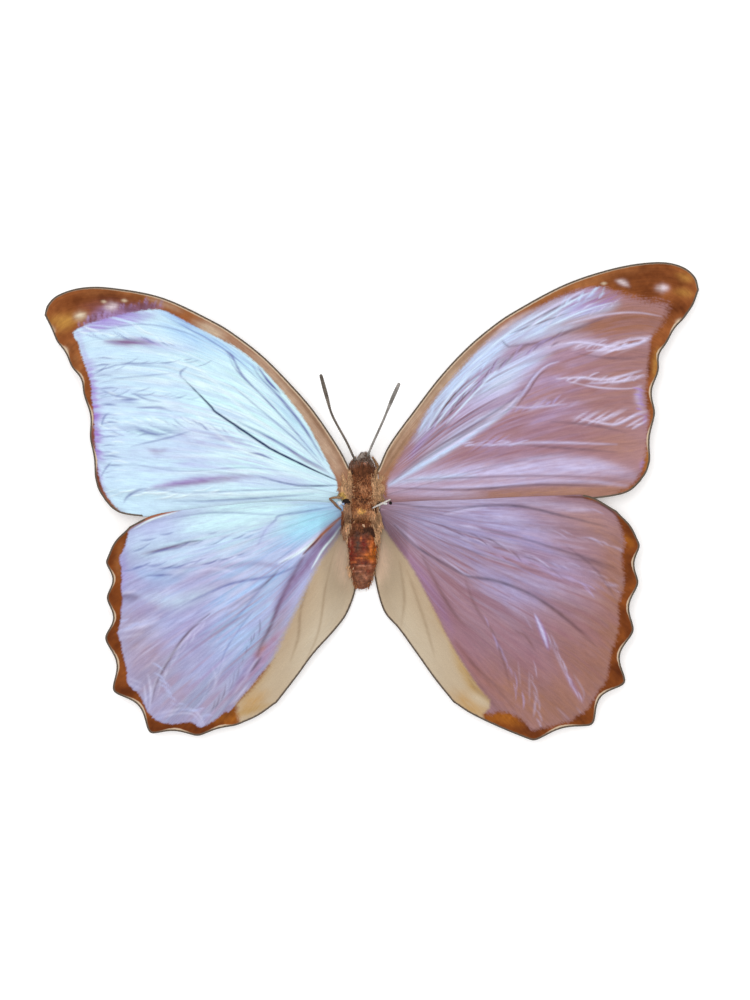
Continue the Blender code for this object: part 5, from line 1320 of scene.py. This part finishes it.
FORE_RIGHT_BORDER = brushwork(
    ("tan", 5.5, 1, 2, 4, 9, 15, 20, 27.5, 28, 35), ("sand", 0.35, 0.6, 4.4, 7.6, 8, 13.4, 14, 21.6),
    ("sand", 0.7, 0.9, 11, 18.6, 16, 24.2, 22, 30),
    ("pale", 0.5, 1.1, 21, 27.4, 26, 32.2, 30, 35.6, 35, 38.4),
    ("drab", 0.25, 0.8, 2.6, 5, 5.4, 9.6, 8.6, 14.6), ("drab", 0.25, 0.8, 3.6, 5, 6.6, 9.6, 9.4, 13.6),
    ("drab", 0.45, 0.6, 9, 16, 17, 25.6, 26, 33.4),
    ("orange", 1.2, 0.8, 28, 35.5, 38, 41, 47, 44.4, 56, 45.4),
    ("umber", 1.2, 0.75, 50, 44, 57, 44.4, 63, 43.6), ("umber", 0.9, 0.5, 48, 43.6, 54, 41.6, 60, 40),
    ("umber", 1.2, 0.7, 59, 38, 62, 37.6, 64.6, 39), ("umber", 0.7, 0.8, 60.4, 43, 63.4, 42.8),
    ("gold", 0.6, 0.6, 61.4, 41.2, 63.4, 41, 65.2, 40.6), ("gold", 0.6, 0.6, 62, 44.6, 65, 43.4),
    ("pale", 0.55, 0.95, 58.3, 41.9, 59.7, 41.9), ("pale", 0.4, 0.9, 50, 43.4, 51.4, 43, 52.4, 42.3),
    ("cream", 0.2, 0.8, 47, 42.8, 48, 42.9), ("cream", 0.35, 0.9, 62.6, 35.6, 61.8, 34.6),
    ("gold", 0.5, 0.7, 58.2, 30, 57.6, 27, 57.4, 23.6), ("gold", 0.45, 0.5, 57, 14, 56.6, 10, 56, 6),
    ("umber", 0.5, 0.6, 56.4, 28, 56.2, 24),
)
HIND_LEFT_BORDER = brushwork(
    ("umber", 1, 0.7, -50.4, -9.6, -50, -13), ("umber", 1, 0.85, -50.6, -19, -48.6, -19.6),
    ("umber", 1, 0.85, -50.8, -26.6, -49.4, -27), ("umber", 1.4, 1, -49.4, -38.4, -47, -38),
    ("umber", 1.1, 0.8, -43, -44, -41, -45.2, -36, -45.2), ("umber", 0.9, 0.9, -34, -45.6, -31, -46),
    ("orange", 0.5, 0.5, -47.6, -8, -48.6, -12, -48.4, -16),
    ("orange", 0.4, 0.9, -39, -2.2, -43, -3.7, -46.6, -5.8),
    ("amber", 1, 0.9, -30, -43.4, -27, -42.6, -24, -42.6), ("umber", 0.9, 0.7, -28.4, -42.8, -26, -42),
)
HIND_RIGHT_BORDER = brushwork(
    ("umber", 1, 0.6, 51.6, -4.6, 53.6, -9), ("amber", 0.7, 0.7, 51.4, -7.6, 52.6, -8.6),
    ("umber", 0.9, 0.8, 52, -12, 53.2, -16), ("umber", 0.9, 0.8, 51.4, -23, 52.6, -26.4),
    ("umber", 1.2, 0.8, 50.4, -32, 51, -36), ("umber", 1, 0.7, 45, -42.6, 42, -43.8),
    ("umber", 1.2, 1, 35, -46.4, 31, -45.4), ("orange", 0.4, 0.9, 44.6, 0.4, 47.5, -0.5, 50, -2),
    ("amber", 1, 0.8, 24, -43, 28, -43, 31, -44.4),
)
# The pale tint is painted light: it lightens the anal fields beside the abdomen, where the body shades them.
ANAL = {
    "beige": seen(202, 182, 154), "cream": seen(216, 202, 178), "fawn": seen(190, 164, 134),
    "umber": seen(158, 134, 106), "gold": seen(190, 152, 92), "honey": seen(200, 158, 100),
    "pale": seen(246, 216, 186),
}
HIND_LEFT_ANAL_STROKES = brushwork(
    ("fawn", 1.6, 0.7, -6, -8, -10.4, -16, -15, -26, -19, -34),
    ("cream", 2.2, 0.7, -4, -20, -9, -28, -14, -36),
    ("umber", 0.25, 0.6, -11, -16.6, -12.6, -22, -13, -27, -14.6, -32),
    ("umber", 0.2, 0.35, -5.6, -9, -7.6, -17, -9, -26, -12, -33),
    # The pale strokes beside the abdomen are painted light against the body's shade.
    ("pale", 1.2, 0.95, -3.8, -7, -4.2, -12, -3.6, -17), ("pale", 0.5, 0.8, -3.7, -7.6, -3.8, -11),
    ("gold", 0.9, 0.45, -18.6, -32.4, -22, -37, -25, -40.4),
    ("honey", 1.2, 0.75, -24.4, -42, -22, -40, -19.6, -38.4),
    ("gold", 0.5, 0.6, -26, -42.6, -22, -41.6, -18.6, -40.4),
)
HIND_RIGHT_ANAL_STROKES = brushwork(
    # The pale stroke beside the abdomen is painted light against the body's shade.
    ("fawn", 1.6, 0.6, 4, -6, 9, -14, 13, -22, 16, -28), ("pale", 1.2, 0.95, 3.2, -7.4, 3.6, -12, 3, -17),
    ("cream", 2, 0.45, 6, -21, 10, -28, 15, -36), ("gold", 0.5, 0.6, 12.4, -18, 15.8, -25, 18.4, -30.4),
    ("umber", 0.25, 0.45, 7, -12, 8, -19, 7.4, -25), ("umber", 0.25, 0.5, 8.6, -14, 12, -24, 14, -31),
    ("gold", 0.8, 0.85, 17.4, -29, 20, -34, 22.6, -37.6, 28.6, -41.4),
    ("umber", 0.3, 0.45, 20.4, -34.4, 22.6, -38, 27, -41),
    ("honey", 1.4, 0.75, 18, -38.4, 22, -41.4, 25, -42.6), ("cream", 0.7, 0.5, 21, -38.6, 24.4, -40.6),
)

UNDER = {
    "brown": seen(128, 92, 66), "umber": seen(70, 44, 30), "silver": seen(196, 184, 168),
    "sand": seen(182, 150, 116), "rust": seen(150, 84, 40), "black": seen(26, 20, 18),
    "yellow": seen(206, 164, 84), "white": seen(232, 232, 236),
}


def underside(is_hind, side):
    """The brown underside: pale bands across the veins, a dark margin and a row of ringed eye spots."""
    bands = brushwork(
        ("umber", 3, 0.6, 10, 2, 24, 18, 40, 34), ("silver", 0.9, 0.75, 50, 36, 44, 18, 43, 2),
        ("umber", 1, 0.7, 54, 36, 48, 18, 47, 2), ("sand", 1.3, 0.6, 30, 30, 24, 14, 24, 2),
        ("rust", 1.6, 0.7, 60, 38, 54, 22, 52, 2), ("silver", 0.5, 0.6, 18, 20, 15, 10, 14, 3),
    )
    eyes = [(47.5, 31, 1.6), (46, 20.5, 2.2), (46.5, 11, 2.0)]
    if is_hind:
        bands = brushwork(
            ("umber", 2.6, 0.6, 8, -4, 20, -14, 30, -30), ("silver", 1, 0.75, 42, -3, 38, -22, 26, -38),
            ("umber", 1, 0.7, 45, -5, 42, -24, 29, -41), ("rust", 1.6, 0.7, 50, -8, 48, -32, 34, -45),
            ("sand", 1.3, 0.6, 22, -3, 21, -16, 14, -30), ("silver", 0.5, 0.6, 12, -4, 12, -12, 8, -20),
        )
        eyes = [(41.5, -10, 2.6), (41.5, -20.5, 2.2), (38, -29.5, 2.0), (31.5, -36.5, 2.0)]
    strokes = [(tint, width, strength, [(side * x, y) for x, y in line])
               for tint, width, strength, line in bands]
    for x, y, size in eyes:
        for tint, share in (("umber", 1.0), ("yellow", 0.8), ("black", 0.6), ("rust", 0.32), ("white", 0.14)):
            spot = size * share
            ends = [(side * (x - 0.1 * spot), y), (side * (x + 0.1 * spot), y)]
            strokes.append((tint, 0.62 * spot, 1.6, ends))
    return strokes


def wing_finish():
    """Scales laid like tiles along the veins. The painted layers meet along ragged edges: the pearly
    field over the brown border and beside the pale anal field. Round the wing runs a fringe that is
    dark at its tips and cream inside them where the margin is notched. The dark tips are partly the
    fringe's own colour and partly painted shade, an outline for the shadow round the wing's edge,
    and along a fore wing's front edge the cream is a painted highlight."""
    finish = Finish("wing_scales", 0.1)
    flow = finish.node("ShaderNodeUVMap", {"uv_map": "flow"}, {})
    at = finish.place()
    field_in, edge, anal_in = finish.parts(finish.attribute("edges", "Vector"))
    under, notch, gloss = finish.parts(finish.attribute("sides", "Vector"))
    streak = finish.noise(flow, 1.0, 4.0, 0.6)
    fine = finish.noise(at, 2.2, 4.0, 0.6)
    blotch = finish.noise(at, 0.55, 4.0, 0.65)
    powder = finish.noise(at, 7.0, 2.0)
    ragged = (streak - 0.5) * 1.3 + (fine - 0.5) * 1.3
    mottle = finish.mix(blotch.rise(0.36, 0.64), (0.93, 0.91, 0.90), (1.06, 1.07, 1.08))
    border = finish.mix(1.0, finish.attribute("border", "Vector"), mottle, "MULTIPLY")
    colour = finish.mix((field_in + ragged).rise(-0.5, 0.5), border, finish.attribute("pearl", "Vector"))
    colour = finish.mix((anal_in + (fine - 0.5) * 0.8).rise(-0.5, 0.5), colour,
                        finish.attribute("anal", "Vector"))
    lift = finish.mix(streak.rise(0.25, 0.75), (0.84, 0.83, 0.88), (1.08, 1.08, 1.06))
    colour = finish.mix(0.8 - anal_in.rise(-0.5, 0.5) * 0.55, colour, lift, "MULTIPLY")
    grit = finish.mix(powder.rise(0.3, 0.7), (0.93, 0.925, 0.93), (1.05, 1.05, 1.05))
    colour = finish.mix(1.0, colour, grit, "MULTIPLY")
    shaken = edge + (fine - 0.5) * 0.25
    # The cream is the scales' own colour in the notches, and a painted highlight along a fore wing's front
    # edge.
    cream = (1.0 - (shaken - notch * 0.55).rise(0.12, 0.36)) * (1.0 - under * 0.6)
    colour = finish.mix(cream, colour, seen(222, 196, 168))
    # The dark tips are partly the fringe's own colour and partly painted shade round the wing's edge.
    tip = 1.0 - shaken.rise(0.25, 0.45)
    colour = finish.mix(tip * 0.92, colour, seen(76, 66, 58))
    relief = streak * 0.7 + fine * 0.3
    return finish.surface(base_color=colour, roughness=0.78 - gloss * 0.28, metallic=gloss * 0.2,
                          normal=finish.bump(relief, 0.10, 0.35))


SCALES = wing_finish()
# How soft the pale anal field's edge is on the left and right hind wings, and the x beyond which the fore
# wing's hind edge and the hind wing's front edge lie free, with a fringe
ANAL_SOFTNESS = {-1: 1.5, 1: 0.8}
FREE_BACK_FROM_X = 44.0
FREE_FRONT_FROM_X = 43.5


def wing(name, outline, is_hind, side, pearl, field, anal_field, border, anal, softness, seed):
    """A thin closed shell: a fine sheet above, one of half as many columns and rows below, and a rim of
    triangles that joins them, with the painted layers given to every point of both."""
    x, y, height, across, outwards, notch, (front, margin, back) = wing_sheet(outline, is_hind)
    sheet_at = (x, y, across, outwards)
    palette, strokes = pearl
    ground_tint = ("pearl" if side < 0 else "mauve") if is_hind else "base"
    pearl_colour, relief = painted(*sheet_at, ground_tint, palette, strokes, seed)
    border_colour, _ = painted(*sheet_at, "hind" if is_hind else "rim", BORDER, border, seed + 10)
    anal_colour, _ = painted(*sheet_at, "beige", ANAL, anal, seed + 20)
    field_in = within(x, y, field, softness)
    anal_in = within(x, y, anal_field, ANAL_SOFTNESS[side]) if anal_field else np.full(x.shape, -9.0)
    visible_back = back if is_hind else back[np.abs(back[:, 0]) > FREE_BACK_FROM_X]
    visible_front = front[np.abs(front[:, 0]) > FREE_FRONT_FROM_X] if is_hind else front
    edge = np.minimum(distance(x, y, margin[::2])[0], distance(x, y, visible_back[::4])[0])
    to_front = distance(x, y, visible_front[::3])[0]
    edge_kind = 0.10 + 0.6 * notch ** 2
    # Where the margin is notched the cream is the scales' own; along a fore wing's free front edge it is a
    # painted highlight, wider near the body.
    if not is_hind:
        fringe = np.interp(np.abs(x), [32, 44, 58], [0.55, 0.42, 0.2])
        edge_kind = np.where(to_front < edge, fringe, edge_kind)
    edge = np.minimum(edge, to_front)
    # The border is worn in patches towards the tip of a fore wing, and all along a hind wing
    patch = (0.65 * grain(x * 0.45 + 90, y * 0.45 + 90, seed + 40)
             + 0.35 * grain(x * 1.5 + 90, y * 1.5 + 90, seed + 41))
    worn = 1.0 if is_hind else np.clip((np.abs(x) - 30) / 14, 0, 1)
    border_colour = border_colour * (1 + (worn * (patch - 0.5))[..., None] * (0.7, 0.9, 1.1))
    gloss = np.clip(field_in + 0.5, 0, 1) * np.clip(0.5 - anal_in, 0, 1)
    ripple = 0.05 * (grain(across * 34, outwards * 5, seed + 5) - 0.5) * np.clip(outwards * 4, 0, 1)
    top = height + WING_THICKNESS / 2 + relief * np.clip(edge / 0.6, 0, 1) + ripple

    coarse = (slice(None, None, 2), slice(None, None, 2))
    below_colour, _ = painted(*(values[coarse] for values in sheet_at), "brown", UNDER,
                              underside(is_hind, side), seed + 30)
    columns, rows = WING_COLUMNS, WING_ROWS
    upper = np.arange((columns + 1) * (rows + 1)).reshape(columns + 1, rows + 1)
    lower_shape = (columns // 2 + 1, rows // 2 + 1)
    lower = upper.size + np.arange(lower_shape[0] * lower_shape[1]).reshape(lower_shape)

    def sheet(index):
        a, b, c, d = index[:-1, :-1], index[1:, :-1], index[1:, 1:], index[:-1, 1:]
        halves = ((a, b, c), (a, c, d))
        return np.concatenate([np.stack(corners, axis=-1).reshape(-1, 3) for corners in halves])

    def loop(index):
        return np.concatenate([index[:-1, 0], index[-1, :-1], index[:0:-1, -1], index[0, :0:-1]])

    over, under = loop(upper), loop(lower)
    first, middle, last = over[0::2], over[1::2], np.roll(over[0::2], -1)
    below, beyond = under, np.roll(under, -1)
    rim = np.concatenate([np.stack(corners, axis=-1) for corners in
                          ((middle, first, below), (last, middle, beyond), (middle, below, beyond))])
    faces = np.concatenate([sheet(upper), sheet(lower)[:, ::-1], rim])
    points = np.concatenate([np.stack([x, y, top], axis=-1).reshape(-1, 3),
                             np.stack([x[coarse], y[coarse], height[coarse] - WING_THICKNESS / 2],
                                      axis=-1).reshape(-1, 3)])
    faces = outward(points, faces)

    def layer(above, beneath):
        return np.concatenate([above.reshape(-1, above.shape[-1]), beneath.reshape(-1, beneath.shape[-1])])

    inside = np.full(x[coarse].shape, 9.0)
    paints = {
        "pearl": layer(pearl_colour, below_colour),
        "border": layer(border_colour, below_colour),
        "anal": layer(anal_colour, below_colour),
        "edges": layer(np.stack([field_in, edge, anal_in], axis=-1),
                       np.stack([inside, edge[coarse], -inside], axis=-1)),
        "sides": layer(np.stack([0 * x, edge_kind, gloss], axis=-1),
                       np.stack([0 * inside + 1, edge_kind[coarse], 0 * inside], axis=-1)),
    }
    # The two slots hold one pearl that differs only in its painted sheen, bright on the left and shaded on
    # the right.
    slot = "wing_pearl_blue" if side < 0 else "wing_pearl_lilac"
    obj = piece(f"{name}_scaled", points, faces, SCALES, slot, [name], paints)
    flow = layer(np.stack([across * 130, outwards * 16], axis=-1),
                 np.stack([across[coarse] * 130, outwards[coarse] * 16], axis=-1))
    mesh = obj.data
    corners = np.zeros(len(mesh.loops), np.int32)
    mesh.loops.foreach_get("vertex_index", corners)
    mesh.uv_layers.new(name="flow").data.foreach_set("uv", flow[corners].astype(np.float32).ravel())


wing("forewing_left", FORE_LEFT, False, -1, (PEARL_LEFT_LIT, FORE_LEFT_STROKES), FORE_LEFT_FIELD, None,
     FORE_LEFT_BORDER, [], 0.5, 100)
wing("forewing_right", FORE_RIGHT, False, 1, (PEARL_RIGHT_SHADED, FORE_RIGHT_STROKES), FORE_RIGHT_FIELD, None,
     FORE_RIGHT_BORDER, [], 1.0, 140)
wing("hindwing_left", HIND_LEFT, True, -1, (PEARL_LEFT_LIT, HIND_LEFT_STROKES), HIND_LEFT_FIELD, HIND_LEFT_ANAL,
     HIND_LEFT_BORDER, HIND_LEFT_ANAL_STROKES, 0.5, 180)
wing("hindwing_right", HIND_RIGHT, True, 1, (PEARL_RIGHT_SHADED, HIND_RIGHT_STROKES), HIND_RIGHT_FIELD,
     HIND_RIGHT_ANAL, HIND_RIGHT_BORDER, HIND_RIGHT_ANAL_STROKES, 1.0, 220)


# Loose hair covers the places where the wings, head and abdomen join the thorax. It is tan over the
# wing roots and the waist, darker between them, and grows from the body and the wings' inner ends. A
# torn flap and a few bare strands lie over the roots of the hind wings.
STRAW, OCHRE, ASH, BARK = seen(160, 126, 94), seen(166, 136, 76), seen(136, 102, 78), seen(96, 76, 66)
NECK_HALF = (2.5, 1.5, 0.9)
NECK_CENTRE = (-0.35, 6.4, 4.1)
YOLK = seen(204, 164, 90)
# Tint, start and end of the row of hair roots, the way the hair points, spread, number and length
NECK_BUNDLES = [
    (CHOCOLATE, (-2.4, 5.8), (1.6, 5.8), (0, 1), 0.4, 900, 0.9),
    (BARK, (-2.4, 6.3), (1.6, 6.2), (0, 1), 0.3, 900, 0.7),
    (DUSK * 1.25, (-2.2, 7), (0.4, 7.3), (0, 0.9), 0.2, 320, 0.4),
    (BARK, (0.4, 7.4), (0.6, 8), (0.1, 1), 0.16, 260, 0.6),
    (BLUSH, (-0.1, 6.8), (0.5, 6.7), (0.2, 1), 0.1, 40, 0.5),
    (STRAW, (-4.6, 5.2), (-3.5, 2.6), (0.42, -0.9), 0.3, 80, 1.2),
    (STRAW, (-3, 6), (-2.8, 3.2), (0.2, -0.9), 0.14, 240, 1),
    (STRAW, (-4.2, 2.6), (-3, 1.2), (0.2, -0.9), 0.3, 170, 0.8),
    (OCHRE, (-4.3, 1.5), (-3.3, 0.9), (-0.5, -0.6), 0.25, 240, 0.7),
    (ASH, (-4.8, 2.6), (-4.4, 1.7), (-0.4, -0.6), 0.15, 50, 0.6),
    (ASH, (-3.4, 2.6), (-2.6, 1.2), (0.2, -0.9), 0.25, 160, 0.8),
    (STRAW, (3.8, 5), (2.6, 3), (-0.5, -0.8), 0.25, 70, 1.1),
    (STRAW, (2.4, 6), (2.2, 3.4), (-0.15, -0.9), 0.15, 240, 1),
    (STRAW, (3.6, 2.8), (2.4, 1.2), (0.1, -0.9), 0.3, 200, 0.8),
    (TAN, (2.6, 3.5), (3.6, 2.5), (0.3, -0.9), 0.25, 50, 0.7),
    (STRAW, (2, 0.8), (3.6, 0.5), (0.3, -0.8), 0.25, 150, 0.7),
]
WAIST_BUNDLES = [
    (RUSSET, (-2.6, -0.4), (1.8, -0.6), (0, -1), 0.35, 520, 0.8),
    (SIENNA, (-2.2, -2), (1.9, -2.2), (0, -1), 0.5, 620, 0.9),
    (UMBER, (-0.6, 0.2), (0.6, 0), (0, -1), 0.2, 160, 0.6),
    (UMBER, (1.9, -1), (2.1, -1.8), (0.1, -1), 0.15, 90, 0.6),
    (ASH, (-3.3, -1), (-3, -3), (0, -1), 0.35, 420, 1),
    (TAN, (-3.5, -3.2), (-3.2, -6.4), (0.02, -1), 0.18, 150, 1),
    (ASH, (-4.1, -5), (-3.9, -7), (0.05, -1), 0.22, 120, 0.9),
    (CHOCOLATE, (-4.3, -2.2), (-4.3, -5), (0.1, -1), 0.12, 110, 0.9),
    (CHOCOLATE, (-2.4, -2.4), (-2, -4.6), (0, -1), 0.15, 120, 0.9),
    (TAN, (1.4, -2), (2.6, -3.8), (0.2, -1), 0.45, 520, 1),
    (STRAW, (2.3, -2.4), (3, -5), (0.1, -1), 0.32, 330, 1),
    (STRAW, (2.7, -5), (2.9, -7.2), (0.02, -1), 0.16, 120, 0.9),
    (TAN, (2.3, -5.4), (2.6, -7.6), (0.1, -1), 0.2, 160, 1),
    (YOLK, (-0.9, -1.7), (0.2, -1.9), (0, -1), 0.24, 420, 0.6),
    (RUSSET, (-1.9, -3.4), (1.7, -3.6), (0, -1), 0.45, 600, 1),
    (CHOCOLATE, (-1.9, -4.6), (1.7, -4.8), (0, -1), 0.4, 420, 0.8),
    (RUSSET, (0.4, -4), (1.8, -4.6), (-0.1, -1), 0.2, 120, 0.7),
    (TAN, (-2.2, -1.4), (0.8, -4), (0.6, -0.7), 0.05, 150, 0.7),
    (TAN, (1, -1.4), (-2, -4.2), (-0.5, -0.8), 0.05, 150, 0.7),
    (UMBER, (1, -0.6), (1.9, -1.8), (0.5, -0.8), 0.08, 120, 0.6),
    (UMBER, (-1.6, -3), (-0.6, -4.2), (0.4, -0.9), 0.08, 90, 0.5),
    (CREAM, (-0.4, -4.7), (0.1, -5), (0.2, -0.9), 0.07, 30, 0.3),
    (STRAW, (1.3, -4.5), (2, -5.3), (0.1, -1), 0.14, 90, 0.5),
    (TAN, (-2.9, -4.3), (-2.5, -5.2), (0, -1), 0.12, 80, 0.6),
    (CHOCOLATE, (-2.8, -6.7), (-1.6, -5.2), (-0.2, -1), 0.14, 130, 0.5),
    (CHOCOLATE, (-1.6, -5.2), (-0.2, -6), (0, -1), 0.12, 100, 0.4),
    (UMBER, (-0.2, -6), (1.2, -5.4), (0, -1), 0.12, 110, 0.4),
    (UMBER, (1.2, -5.6), (2.2, -7), (0.2, -1), 0.14, 140, 0.5),
    (TAN, (-3.4, -7), (-3.3, -8.2), (-0.02, -1), 0.1, 30, 0.6),
    (STRAW, (2.9, -8), (2.7, -11), (-0.02, -1), 0.1, 36, 0.7),
    (TAN, (-3, -12.8), (-2.5, -14.8), (-0.5, -1), 0.12, 26, 0.7),
]
# A strand's tint, radius and line, and a patch's tint, middle and half widths. The near-black patches
# are painted shade, dark spots put where the gaps between the fore and hind wing roots lie in shadow.
BARE_STRANDS = [
    (seen(222, 214, 206), 0.2, [(1.7, -1.6), (2.7, -1.1), (3.6, -0.7), (5.2, 0.1)]),
    (ASH, 0.27, [(-6.8, 0.2), (-6, -0.5), (-5.4, -1.2), (-4.6, -1.9)]),
    (STRAW, 0.24, [(-6.8, 0.3), (-5.6, 0.5), (-4.2, 0.4)]),
    (STRAW, 0.1, [(-4.4, -1), (-3.6, -1.3), (-2.8, -1.1)]),
]
BARE_PATCHES = [
    (UMBER * 0.3, -3.55, -0.4, 0.8, 0.62), (seen(226, 234, 238), -4.85, -0.6, 0.5, 0.42),
    (UMBER * 0.3, 2.75, -0.5, 0.45, 0.3), (UMBER * 0.2, 5.3, -0.6, 0.36, 0.34),
    (seen(226, 224, 222), 4.2, -0.75, 0.45, 0.2),
]


def ground(x, y):
    """The top of whatever lies under a place: the thorax, neck, abdomen or a wing's inner end. The
    thorax's height is found in turns, since its lean depends on its height."""
    half = np.array(THORAX_HALF) - FUR_DEPTH
    rise = np.full(x.shape, 0.8)
    for _ in range(10):
        ahead = (y - THORAX_CENTRE[1]) / half[1] - THORAX_LEAN * rise * half[2] / half[1]
        spare = 1 - np.abs(x / half[0]) ** THORAX_SQUARENESS - np.abs(ahead) ** THORAX_SQUARENESS
        rise = 0.5 * rise + 0.5 * np.clip(spare, 0, 1) ** (1 / THORAX_SQUARENESS)
    top = np.where(spare > 0, THORAX_CENTRE[2] + rise * half[2], 0.0)
    off = np.hypot((x - NECK_CENTRE[0]) / NECK_HALF[0], (y - NECK_CENTRE[1]) / NECK_HALF[1])
    top = np.maximum(top, NECK_CENTRE[2] + NECK_HALF[2] * np.sqrt(np.clip(1 - off ** 2, 0, 1)) * (off < 1))
    along = np.clip((ABDOMEN_START[1] - y) / ABDOMEN_LENGTH, 0, 1)
    radius = ABDOMEN_RADIUS * np.sqrt(1 - along ** 3.2) * (1 - 0.2 * np.exp(-along / 0.08))
    radius = radius * (y < ABDOMEN_START[1])
    spare = radius ** 2 - (x - ABDOMEN_START[0] - ABDOMEN_BEND * 4 * along * (1 - along)) ** 2
    shell = ABDOMEN_START[2] + ABDOMEN_FLATTENING * np.sqrt(np.clip(spare, 0, None))
    top = np.maximum(top, np.where(spare > 0, shell, 0.0))
    deck = deck_height(x, y) + WING_THICKNESS / 2 + np.where(y < -0.6, OVERLAP_LIFT - tuck(x, y), 0.0)
    return np.maximum(top, np.where(np.abs(x) > 2.6, deck, 0.0))


def bundles(name, rows, seed):
    """Locks rooted along straight rows on whatever lies below, each row pointing one way."""
    rng = np.random.default_rng(seed)
    tufts, tints = [], []
    for tint, start, end, way, spread, count, length in rows:
        share = rng.random((count, 1))
        plan = np.array(start) * (1 - share) + np.array(end) * share + rng.normal(0, spread, (count, 2))
        roots = np.column_stack([plan, ground(plan[:, 0], plan[:, 1]) + rng.uniform(-0.05, 0.22, count)])
        aims = unit(np.array((*way, 0.0)) + rng.normal(0, 0.12, (count, 3)) * (1, 1, 0.5))
        sag = np.column_stack([rng.normal(0, 0.1, (count, 2)), np.full(count, -0.02)])
        tufts.append(locks(roots, aims, 1.5 * length * rng.uniform(0.6, 1.2, count),
                           rng.uniform(0.045, 0.085, count), sag, rng))
        streak = 0.55 + 0.75 * grain(plan[:, 0] * 2.6 + 60, plan[:, 1] * 0.9 + 60, seed)
        shade = (streak * rng.uniform(0.85, 1.18, count))[:, None]
        tints.append(np.repeat(tint * shade, LOCK_POINTS, axis=0))
    piece(name, *merged(*tufts), HAIR, "brown_fur", (), {"hair": np.vstack(tints)})


def bare_bits():
    """The strands as round limbs, and the patches as flat lenses on the hair: the dark ones painted shade."""
    shapes, tints = [], []
    for tint, radius, line in BARE_STRANDS:
        plan = smooth_curve(line, 30)
        height = ground(plan[:, 0], plan[:, 1]).max() + 0.25 + 0 * plan[:, 0]
        fade = np.sin(math.pi * np.linspace(0.12, 0.88, len(plan))) ** 0.4
        shapes.append(limb(np.column_stack([plan, height]), radius * fade, 10))
        tints.append(np.tile(tint / HAIR_LIFT, (len(shapes[-1][0]), 1)))
    for tint, x, y, half_x, half_y in BARE_PATCHES:
        height = ground(np.array([x]), np.array([y]))[0] + 0.35
        shapes.append(barrel((x, y, height), (half_x, half_y, 0.12), 14, 24))
        tints.append(np.tile(tint / HAIR_LIFT, (len(shapes[-1][0]), 1)))
    piece("bare_strands", *merged(*shapes), HAIR, "brown_fur", (), {"hair": np.vstack(tints)})


bundles("neck_and_root_hair", NECK_BUNDLES, 18)
bundles("waist_hair", WAIST_BUNDLES, 19)
bare_bits()


# The table is a plain white board with a very faint grain, wide enough to fill the picture. The insect
# lies loose on it, and it is only the stage.
def table():
    finish = Finish("white_board", 0.2)
    speck = finish.noise(finish.place(), 0.08, 3.0)
    colour = finish.mix(speck, (0.93, 0.93, 0.93), (0.96, 0.96, 0.96))
    finish.shader.inputs["Emission Strength"].default_value = TABLE_GLOW
    material = finish.surface(base_color=colour, roughness=0.8, emission_color=(1.0, 1.0, 1.0))
    half = TABLE_HALF * MM
    mesh = bpy.data.meshes.new("white_table")
    corners = [(-half, -half, 0), (half, -half, 0), (half, half, 0), (-half, half, 0)]
    mesh.from_pydata(corners, [], [(0, 1, 2, 3)])
    mesh.materials.append(material)
    board = bpy.data.objects.new("white_table", mesh)
    bpy.context.scene.collection.objects.link(board)


table()
